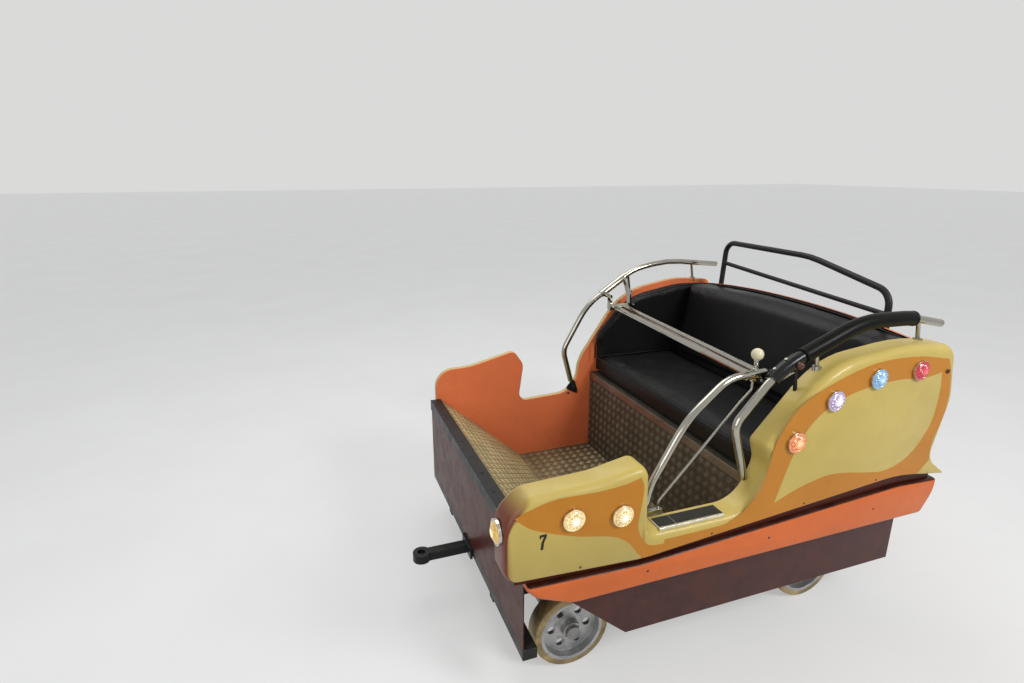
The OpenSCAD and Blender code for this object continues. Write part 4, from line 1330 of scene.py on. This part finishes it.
@dataclass
class Upholstery:
    """Padded seat, backrest, side pads, their piping and the foam sleeve."""

    shop: Workshop
    shrink: float = 7.0
    pressure: float = 4.0
    cap: float = 14.0
    frames: int = 20
    held: float = 0.2
    open_from: float = 0.35
    welt: float = 3.4
    seat_back: float = 1345.0
    seat_front: float = 901.0
    seam: float = 5.0
    side_gap: float = 11.0
    arch_s: float = 1556.0
    arch_drop: float = 8.0
    sleeve_from: float = 985.0
    sleeve_to: float = 1462.0
    sleeve_r: float = 26.0
    pads: tuple[Pad, ...] = (
        Pad("seat_cushion", ((0, 0, 1), (1, 0, 0)), 7.0),
        Pad("backrest_pad", ((1, 0, 0.2), (0, 0, 1)), 9.0, 520.0, 9.0, 7.0),
        Pad("side_pads", ((0, 0, 1), (1, 0, 0)), 13.0, 520.0, 8.0, 18.0))

    def build(self) -> None:
        """Builds and dresses the soft pieces."""
        for pad in self.pads:
            piece = self.swell(pad)
        self.piping()
        self.sleeve()

    def swell(self, pad: Pad) -> bpy.types.Object:
        """Blows up a slightly smaller copy of a pad as cloth and fits it to its place.

        Args:
            pad: the pad.

        Returns:
            The soft piece.
        """
        holder = shown("blank", closed("blank", self.shop.copy(pad.node)))
        skin = holder.modifiers.new("skin", "REMESH")
        skin.mode = "VOXEL"
        skin.voxel_size = pad.voxel * MM
        shape = baked(holder)
        bm = opened(shape)
        smoothed(bm, 0.5, 5)
        bm.normal_update()
        steps = [(v, v.normal * self.shrink * MM, max(0.0, v.normal.z)) for v in bm.verts]
        for vert, step, up in steps:
            vert.co -= step
            if vert.co.z > (FLOOR_Z + pad.above) * MM and pad.lift > 0:
                flat = Vector((step.x, 0.0, step.z)).normalized()
                vert.co += flat * (min(1.0, 1.6 * up) * (self.shrink + pad.lift) * MM)
        bm.to_mesh(shape)
        bm.free()
        start = [v.co.copy() for v in shape.vertices]
        result = self.inflate(shape)
        self.fit(pad, start, result)
        bm = opened(result)
        smoothed(bm, 0.4)
        piece = self.shop.piece(f"{pad.node}_dressed", bm, Palette.VINYL, "vinyl",
                                replaces=[pad.node], smooth=180)
        soft = piece.modifiers.new("soft", "SUBSURF")
        soft.levels = soft.render_levels = 1
        return piece

    def inflate(self, shape: bpy.types.Mesh) -> bpy.types.Mesh:
        """Runs the cloth under pressure.

        Args:
            shape: the cloth's mesh at the start.

        Returns:
            Its mesh at the end.
        """
        holder = shown("cloth", shape)
        cloth = holder.modifiers.new("cloth", "CLOTH")
        cloth.settings.quality = 5
        cloth.settings.use_pressure = True
        cloth.settings.uniform_pressure_force = self.pressure
        cloth.settings.effector_weights.gravity = 0.0
        cloth.settings.bending_stiffness = 1.5
        cloth.collision_settings.use_collision = False
        cloth.point_cache.frame_start = 1
        cloth.point_cache.frame_end = self.frames
        for step in range(1, self.frames + 1):
            bpy.context.scene.frame_set(step)
        result = baked(holder)
        bpy.context.scene.frame_set(1)
        return result

    def fit(self, pad: Pad, start: Sequence[Vector], result: bpy.types.Mesh) -> None:
        """Caps each point's move and keeps it in the space of the pad's own node.

        Args:
            pad: the pad.
            start: the points before the cloth ran.
            result: the mesh after it, which is changed.
        """
        source = self.shop.copy(pad.node)
        tree = BVHTree.FromBMesh(source)
        free = [Vector(direction).normalized() for direction in pad.free]
        for before, vert in zip(start, result.vertices):
            move = vert.co - before
            if move.length > self.cap * MM:
                move *= self.cap * MM / move.length
            place = before + move
            near, normal, _, _ = tree.find_nearest(place)
            open_face = any(normal.dot(direction) > self.open_from for direction in free)
            high = place.z > (FLOOR_Z + pad.above) * MM
            allowed = (pad.rise if open_face and high else self.held) * MM
            over = (place - near).dot(normal) - allowed
            if over > 0:
                place -= normal * over
            vert.co = place
        source.free()

    def piping(self) -> None:
        """Sews piping along the edges of the pads."""
        low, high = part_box("seat_cushion")
        inner, outer = low.y / MM + self.seam, high.y / MM - self.seam
        back, front = self.seat_back, self.seat_front
        lines = {
            "seat_piping": [((back, inner, 503), 0), ((front, inner, 509), 24),
                            ((front, outer, 509), 24), ((back, outer, 503), 0)],
            "inner_side_piping": self.side_line(inner - self.side_gap),
            "outer_side_piping": self.side_line(outer + self.side_gap)}
        for name, corners in lines.items():
            line = rounded([(at(*place), radius * MM) for place, radius in corners])
            self.shop.piece(name, tube(line, self.welt), Palette.WELT, "vinyl")
        arch = [at(self.arch_s, y, rim_height(y) - self.arch_drop) for y in
                [inner + (outer - inner) * k / 40 for k in range(41)]]
        self.shop.piece("backrest_piping", tube(arch, self.welt), Palette.WELT, "vinyl")

    def side_line(self, across: float) -> list[tuple[tuple[float, float, float], float]]:
        """Draws the edge of a side pad.

        Args:
            across: its distance from the middle of the car.

        Returns:
            Its corners with their radii.
        """
        front = self.seat_front
        return [((front, across, 500), 0), ((front, across, 598), 112),
                ((1088, across, 801), 324), ((1387, across, 851), 494), ((1540, across, 846), 0)]

    def sleeve(self) -> None:
        """Makes the thick sleeve of the arm rest with a lip at each end."""
        line = stretch(RAIL_LINE, self.sleeve_from + 1, self.sleeve_to - 1)
        ends = [(0.0, 0.80), (1.0, 0.95), (3.5, 1.04), (7.0, 1.04), (9.0, 0.985), (14.0, 1.0)]
        mesh = tube(line, self.sleeve_r, ends, 8)
        piece = self.shop.piece("rail_sleeve_dressed", mesh, Palette.FOAM, "foam",
                                replaces=["rail_sleeve"], smooth=50)


@dataclass
class Rails:
    """Grab rails, the rear guard, hinge, latch and their brackets."""

    shop: Workshop
    housing_r: float = 23.0
    housing_screws: tuple[float, ...] = (893.0, 932.0)
    stop_s: float = 958.0
    bar_r: float = 4.2
    leg_r: float = 6.5
    plate_bolts: tuple[Point2, ...] = ((764, 312), (812, 312))
    pin_y: float = -0.568
    pin_z: float = 1.002

    def build(self) -> None:
        """Builds and dresses the fixed metalwork."""
        for node in ("outer_rail", "inner_rail", "hinge_clamp"):
            self.shop.carry(node, Palette.CHROME, "chrome", bevel=0.8)
        for node in ("rail_brackets", "rear_guard"):
            self.shop.carry(node, Palette.BLACK, "black_steel", bevel=0.8)
        self.shop.carry("latch_housing", Palette.BLACK_GLOSS, "black_steel", bevel=1.0)
        self.latch_details()
        self.end_rings()
        self.small_bolts()

    def latch_details(self) -> None:
        """Adds the screws, the striker bar, the nuts and the rubber stop of the latch."""
        screws = []
        for station in self.housing_screws:
            middle, along = spot_on(RAIL_LINE, station)
            up = along.cross(Vector((0, 1, 0))).normalized()
            up = up if up.z > 0 else -up
            screws.append((middle + up * (self.housing_r - 0.6) * MM, up))
        self.shop.fasteners("latch_screws", Head.SOCKET, 4.6, screws, Palette.CHROME, "chrome")
        bar = rounded([(at(890, 640, 792), 0), (at(900, 648, 803), 0.008),
                       (at(952, 652, 827), 0)])
        self.shop.piece("striker_bar", tube(bar, self.bar_r, [(0.0, 0.6), (1.5, 1.0)]),
                        Palette.CHROME, "chrome")
        nuts = [(at(876, y, 791), Vector((1, 0, 0))) for y in (602, 618)]
        nuts.append((at(886, 630, 803), Vector((0, 1, 0))))
        self.shop.fasteners("latch_nuts", Head.NUT, 5.6, nuts, Palette.CHROME, "chrome")
        stop = raised(12.5, [(0.0, 13.0), (1.6, 2.6), (3.0, 2.6), (4.0, 1.5)], 24)
        middle, _ = spot_on(RAIL_LINE, self.stop_s)
        stop.transform(facing(middle + Vector((0, 17, -8)) * MM, Vector((0.25, 1, -0.2))))
        self.shop.piece("latch_stop", stop, Palette.RUBBER, "foam", smooth=60)
        leg = rounded([(middle + Vector((0, 0, -10)) * MM, 0), (at(968, 645, 800), 0.02),
                       (at(974, 645, 758), 0)])
        self.shop.piece("housing_leg", tube(leg, self.leg_r), Palette.BLACK_GLOSS,
                        "black_steel")

    def end_rings(self) -> None:
        """Adds the rings at the ends of the arm rest and the caps of the rails."""
        rings = {"sleeve_ring_front": (964, 986, 20.5, Palette.BLACK_GLOSS),
                 "sleeve_ring_rear": (1463, 1469, 18.0, Palette.CHROME)}
        for name, (start, end, radius, finish) in rings.items():
            mesh = tube(stretch(RAIL_LINE, start, end), radius, [(0.0, 0.92), (1.0, 1.0)], 7)
            self.shop.piece(name, mesh, finish, "chrome", smooth=50)

    def small_bolts(self) -> None:
        """Adds the bolts of the lower bracket and of the hinge."""
        plate = [(at(s, -WALL_Y, h), Vector((0, 1, 0))) for s, h in self.plate_bolts]
        self.shop.fasteners("bracket_bolts", Head.NUT, 6.5, plate, Palette.BLACK, "black_steel")
        low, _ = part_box("hinge_clamp")
        pin = [(Vector((low.x, self.pin_y, self.pin_z)), Vector((-1, 0, 0)))]
        self.shop.fasteners("hinge_nut", Head.NUT, 9.0, pin, Palette.CHROME, "chrome")


@dataclass
class Gate:
    """Lap bar with its gate tube, rod and knob."""

    shop: Workshop
    stem: tuple[float, float] = (850.0, 594.0)
    spring: tuple[float, float] = (829.0, 858.0)
    coil_r: float = 6.6
    wire_r: float = 1.3
    turns: int = 6
    points: int = 90

    def build(self) -> None:
        """Builds and dresses the moving pieces of the gate."""
        for node in ("lap_bar", "gate_tube", "gate_rod"):
            self.shop.carry(node, Palette.CHROME, "chrome", Body.GATE, bevel=0.6)
        self.shop.carry("latch_knob", Palette.KNOB, "knob_white", Body.GATE)
        low, high = self.spring
        coil = []
        for k in range(self.points + 1):
            share = k / self.points
            turn = 2 * math.pi * self.turns * share
            coil.append(at(self.stem[0] + self.coil_r * math.cos(turn),
                           self.stem[1] + self.coil_r * math.sin(turn),
                           low + (high - low) * share))
        self.shop.piece("knob_spring", tube(coil, self.wire_r, sides=1), Palette.CHROME,
                        "chrome", Body.GATE)
        up = Vector((0, 0, 1))
        collars = [(at(*self.stem, low - 3), up), (at(*self.stem, high), up)]
        self.shop.fasteners("knob_collars", Head.NUT, 9.0, collars, Palette.CHROME, "chrome",
                            Body.GATE)


@dataclass(frozen=True)
class LampFace:
    """Lenses of one colour: their node, finishes, and places with radius and direction."""

    node: str
    glass: Lens
    bulbs: Lens
    spots: tuple[tuple[tuple[float, float, float], float, tuple[float, float, float]], ...]


OUT = (0.0, 1.0, 0.0)


@dataclass
class Lamps:
    """Lamp cups and lit lenses: fluted domes with a ring of small bulbs round a bright middle."""

    shop: Workshop
    cup: float = 10.0
    dome: float = 12.0
    margin: float = 6.3
    petal: float = 0.6
    waist: float = 0.74
    flute: float = 0.7
    ring_at: float = 0.80
    bulb: float = 0.06
    faces: tuple[LampFace, ...] = (
        LampFace("lens_warm", Palette.WARM, Palette.WARM_BULB,
                 (((149, FACE_Y, 502), 35, OUT), ((308, FACE_Y, 481), 35, OUT))),
        LampFace("lens_orange", Palette.ORANGE_LENS, Palette.ORANGE_BULB,
                 (((932, FACE_Y, 612), 35, OUT),)),
        LampFace("lens_white", Palette.WHITE_LENS, Palette.WHITE_BULB,
                 (((1072, FACE_Y, 736), 35, OUT),)),
        LampFace("lens_blue", Palette.BLUE_LENS, Palette.BLUE_BULB,
                 (((1248, FACE_Y, 790), 35, OUT),)),
        LampFace("lens_red", Palette.RED_LENS, Palette.RED_BULB,
                 (((1439, FACE_Y, 797), 35, OUT),
                  ((1631.6, 660, 690), 18, (-0.993, 0.0, 0.118)),
                  ((1618.7, 660, 590), 18, (-0.976, 0.0, -0.220)))),
        LampFace("lens_nose", Palette.AMBER, Palette.AMBER_BULB,
                 (((-58, 662, 475), 39, (1.0, 0.0, 0.0)),)))

    def build(self) -> None:
        """Builds and dresses the lamps."""
        self.shop.carry("lamp_bezels", Palette.BEZEL, "bezel", bevel=0.8)
        for face in self.faces:
            glass, bulbs = bmesh.new(), bmesh.new()
            for place, cup_r, outward in face.spots:
                seat = facing(at(*place), Vector(outward))
                radius = cup_r - self.margin
                if face.node == "lens_nose":
                    gather(glass, self.cut_glass(radius), seat)
                    gather(bulbs, self.middle(radius, 0.40), seat)
                else:
                    gather(glass, self.fluted(radius, cup_r), seat)
                    self.ring(bulbs, radius, seat)
                    gather(bulbs, self.middle(radius, 0.60), seat)
            self.shop.piece(f"{face.node}_dressed", glass, face.glass, face.node,
                            replaces=[face.node], smooth=24)
            self.shop.piece(f"{face.node}_bulbs", bulbs, face.bulbs, face.node, smooth=24)

    def curve(self, radius: float) -> float:
        """Returns the radius of the dome's ball."""
        return (radius ** 2 + self.dome ** 2) / (2 * self.dome)

    def surface(self, radius: float, out: float) -> float:
        """Returns the height of the dome at a distance from its middle."""
        ball = self.curve(radius)
        return self.cup + self.dome - ball + math.sqrt(ball ** 2 - out ** 2)

    def spun(self, profile: Sequence[Point2], segments: int) -> bmesh.types.BMesh:
        """Spins a profile round +Z.

        Args:
            profile: distances and heights of its points.
            segments: number of sides.

        Returns:
            The closed part.
        """
        bm = bmesh.new()
        verts = [bm.verts.new((out * MM, 0.0, height * MM)) for out, height in profile]
        edges = [bm.edges.new(pair) for pair in zip(verts, verts[1:])]
        bmesh.ops.spin(bm, geom=verts + edges, cent=(0, 0, 0), axis=(0, 0, 1), dvec=(0, 0, 0),
                       angle=2 * math.pi, steps=segments, use_merge=True)
        bmesh.ops.remove_doubles(bm, verts=bm.verts, dist=0.01 * MM)
        bmesh.ops.recalc_face_normals(bm, faces=bm.faces)
        return bm

    def fluted(self, radius: float, cup_r: float) -> bmesh.types.BMesh:
        """Makes a lens with fine flutes and a rim that covers the cup's edge.

        Args:
            radius: radius of the dome.
            cup_r: radius of the cup.

        Returns:
            The lens along +Z.
        """
        arc = [(radius * share, self.surface(radius, radius * share))
               for share in (0.97, 0.90, 0.80, 0.68, 0.55, 0.42, 0.30, 0.15, 0.0)]
        rim = [(0.0, 3.0), (radius, 3.0), (radius, self.cup + 0.1),
               (cup_r - 1.6, self.cup + 0.1), (cup_r - 1.6, self.cup + 1.0),
               (radius + 0.6, self.cup + 1.6), (radius - 0.2, self.cup + 0.9)]
        bm = self.spun(rim + arc, 72)
        for vert in bm.verts:
            out = math.hypot(vert.co.x, vert.co.y) / MM
            turn = math.degrees(math.atan2(vert.co.y, vert.co.x))
            if radius * 0.5 < out < radius * 0.96 and vert.co.z > self.cup * MM:
                vert.co.z -= self.flute * MM * (round(turn / 5) % 2)
        return bm

    def cut_glass(self, radius: float) -> bmesh.types.BMesh:
        """Makes a lens of raised facets.

        Args:
            radius: radius of the dome.

        Returns:
            The lens along +Z.
        """
        arc = [(radius * share, self.surface(radius, radius * share) - 0.9)
               for share in (1.0, 0.84, 0.66, 0.47, 0.27, 0.0)]
        bm = self.spun([(0.0, 3.0), (radius, 3.0)] + arc, 20)
        top = [face for face in bm.faces if face.calc_center_median().z > self.cup * MM]
        bmesh.ops.poke(bm, faces=top, offset=1.0 * MM)
        return bm

    def ring(self, total: bmesh.types.BMesh, radius: float, seat: Matrix) -> None:
        """Sets the ring of small bulbs on the lens.

        Args:
            total: the mesh that takes them.
            radius: radius of the dome.
            seat: place of the lamp.
        """
        count = 12 if radius > 20 else 8
        out = radius * self.ring_at
        ball = self.curve(radius)
        lean = math.asin(out / ball)
        for k in range(count):
            turn = 2 * math.pi * k / count
            across = Vector((math.cos(turn), math.sin(turn), 0.0))
            place = across * out * MM + Vector((0, 0, self.surface(radius, out) - 0.5)) * MM
            outward = across * math.sin(lean) + Vector((0, 0, math.cos(lean)))
            size = radius * self.bulb
            gather(total, raised(size, [(0.0, 0.9), (size * 0.3, 0.6), (size * 0.35, 0.3)], 8),
                   seat @ facing(place, outward))

    def middle(self, radius: float, share: float) -> bmesh.types.BMesh:
        """Makes the bright middle of the lens, a shallow star of petals.

        Args:
            radius: radius of the dome.
            share: share of it that the star takes.

        Returns:
            The star along +Z.
        """
        size = radius * share
        foot = self.surface(radius, size) - 0.6
        steps, level, before = [], foot, 1.0
        for part in (1.0, 0.78, 0.44, 0.18):
            top = self.surface(radius, size * part) + self.petal
            steps.append(((before - part) * size, top - level))
            level, before = top, part
        bm = raised(size, steps, 24)
        for vert in bm.verts:
            turn = math.degrees(math.atan2(vert.co.y, vert.co.x))
            if round(turn / 15) % 2:
                vert.co.x *= self.waist
                vert.co.y *= self.waist
        bmesh.ops.translate(bm, verts=bm.verts, vec=(0, 0, foot * MM))
        return bm


@dataclass
class RunningGear:
    """Chassis, axles, wheels and couplings."""

    shop: Workshop
    axle_s: tuple[float, float] = (260.0, 1300.0)
    wheel_y: float = 480.0
    wheel_r: float = 140.0
    hub_y: float = 35.0
    bolt_ring: float = 25.0
    bolts: int = 6

    def build(self) -> None:
        """Builds and dresses the running gear."""
        for node in ("chassis_frame", "drawbar", "rear_clevis", "arm_bracket"):
            self.shop.carry(node, Palette.BLACK, "black_steel", bevel=1.5)
        for node in ("front_axle", "rear_axle"):
            self.shop.carry(node, Palette.AXLE, "axle_steel", bevel=1.0)
        for end, station in zip(("front", "rear"), self.axle_s):
            for side, sign in (("outer", 1), ("inner", -1)):
                self.wheel(f"{end}_{side}", station, sign)

    def wheel(self, name: str, station: float, sign: int) -> None:
        """Dresses one wheel and bolts its hub.

        Args:
            name: end and side of the wheel.
            station: station of its axle.
            sign: 1 on the boarding side, -1 on the other.
        """
        body = Body(f"wheel_{name}")
        self.shop.carry(f"rim_{name}", Palette.WHEEL, "wheel_metal", body, 1.0)
        self.shop.carry(f"tyre_{name}", Palette.TYRE, "wheel_tread", body, 0.6)
        centre = at(station, sign * (self.wheel_y + self.hub_y), self.wheel_r - FLOOR_Z)
        outward = Vector((0, sign, 0))
        bolts = []
        for k in range(self.bolts):
            turn = math.radians(360 / self.bolts * (k + 0.5))
            offset = Vector((math.cos(turn), 0, math.sin(turn))) * self.bolt_ring * MM
            bolts.append((centre + offset, outward))
        self.shop.fasteners(f"hub_bolts_{name}", Head.NUT, 4.6, bolts, Palette.AXLE,
                            "wheel_metal", body)


@dataclass
class Studio:
    """Pale floor, soft lamps and the camera."""

    eye: tuple[float, float, float] = (1.318, 2.050, 1.693)
    look: tuple[float, float, float] = (-0.3263, -0.9021, -0.2823)
    lens: float = 21.0
    reach: float = 45.0
    backdrop: Colour = (0.70, 0.70, 0.695)
    light: Colour = (0.40, 0.41, 0.43)
    target: tuple[float, float, float] = (0.0, 0.0, 0.7)
    floor_dark: Colour = (0.42, 0.42, 0.415)
    floor_pale: Colour = (0.45, 0.45, 0.445)
    glow: Colour = (0.80, 0.80, 0.79)
    glow_power: float = 0.48
    lamps: tuple[tuple[str, tuple[float, float, float], float, float], ...] = (
        ("key", (-1.9, 3.9, 3.7), 1.5, 136.0),
        ("fill", (3.6, 2.8, 2.2), 2.6, 46.0),
        ("top", (0.4, -1.4, 4.2), 2.8, 60.0))

    def build(self) -> None:
        """Builds the studio."""
        self.floor()
        self.world()
        for name, place, size, power in self.lamps:
            self.lamp(name, Vector(place), size, power)
        self.camera()

    def floor(self) -> None:
        """Lays the floor under the wheels."""
        bm = bmesh.new()
        bmesh.ops.create_grid(bm, x_segments=1, y_segments=1, size=self.reach)
        mesh = closed("floor", bm)
        material = bpy.data.materials.new("floor")
        material.use_nodes = True
        g = Graph(material.node_tree)
        shader = material.node_tree.nodes["Principled BSDF"]
        patches = Effect.use(g, "clouds", Scale=1.4, Contrast=0.5)
        g.feed(shader, "Base Color", g.mix(patches, self.floor_dark, self.floor_pale))
        g.feed(shader, "Roughness", 0.75)
        rays = g.add("ShaderNodeLightPath").outputs
        seen = g.math("MAXIMUM", rays["Is Camera Ray"], rays["Is Glossy Ray"])
        g.feed(shader, "Emission Color", (*self.glow, 1.0))
        g.feed(shader, "Emission Strength", g.math("MULTIPLY", seen, self.glow_power))
        mesh.materials.append(material)
        shown("floor", mesh)

    def world(self) -> None:
        """Sets an even pale surround."""
        world = bpy.data.worlds.new("studio")
        world.use_nodes = True
        bpy.context.scene.world = world
        g = Graph(world.node_tree)
        rays = g.add("ShaderNodeLightPath").outputs
        seen = g.math("MAXIMUM", g.math("MAXIMUM", rays["Is Camera Ray"], rays["Is Glossy Ray"]),
                      rays["Is Transmission Ray"])
        colour = g.mix(seen, self.light, self.backdrop)
        background = world.node_tree.nodes["Background"]
        g.feed(background, "Color", colour)
        g.feed(background, "Strength", 1.0)

    def lamp(self, name: str, place: Vector, size: float, power: float) -> None:
        """Hangs one soft square lamp that looks at the car.

        Args:
            name: name of the lamp.
            place: where it hangs, in metres.
            size: length of its side, in metres.
            power: its power, in watts.
        """
        data = bpy.data.lights.new(name, "AREA")
        data.shape = "SQUARE"
        data.size = size
        data.energy = power
        lamp = shown(name, data)
        lamp.location = place
        lamp.rotation_euler = (Vector(self.target) - place).to_track_quat("-Z", "Y").to_euler()

    def camera(self) -> None:
        """Sets the camera at the photograph's viewing angle."""
        data = bpy.data.cameras.new("camera")
        data.lens = self.lens
        camera = shown("camera", data)
        camera.location = self.eye
        camera.rotation_euler = Vector(self.look).to_track_quat("-Z", "Y").to_euler()
        bpy.context.scene.camera = camera


def main() -> None:
    """Builds the car around its frame, part by part."""
    logging.basicConfig(level=logging.INFO, format="%(name)s %(message)s")
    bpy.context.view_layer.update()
    bpy.context.scene.view_settings.view_transform = "Standard"
    Studio().build()
    shop = Workshop()
    for part in (BodyShell(shop), Deck(shop), Upholstery(shop), Rails(shop), Gate(shop),
                 Lamps(shop), RunningGear(shop)):
        part.build()
        log.info("%s is in place", type(part).__name__)
    log.info("%d pieces", shop.made)


if __name__ == "__main__":
    main()
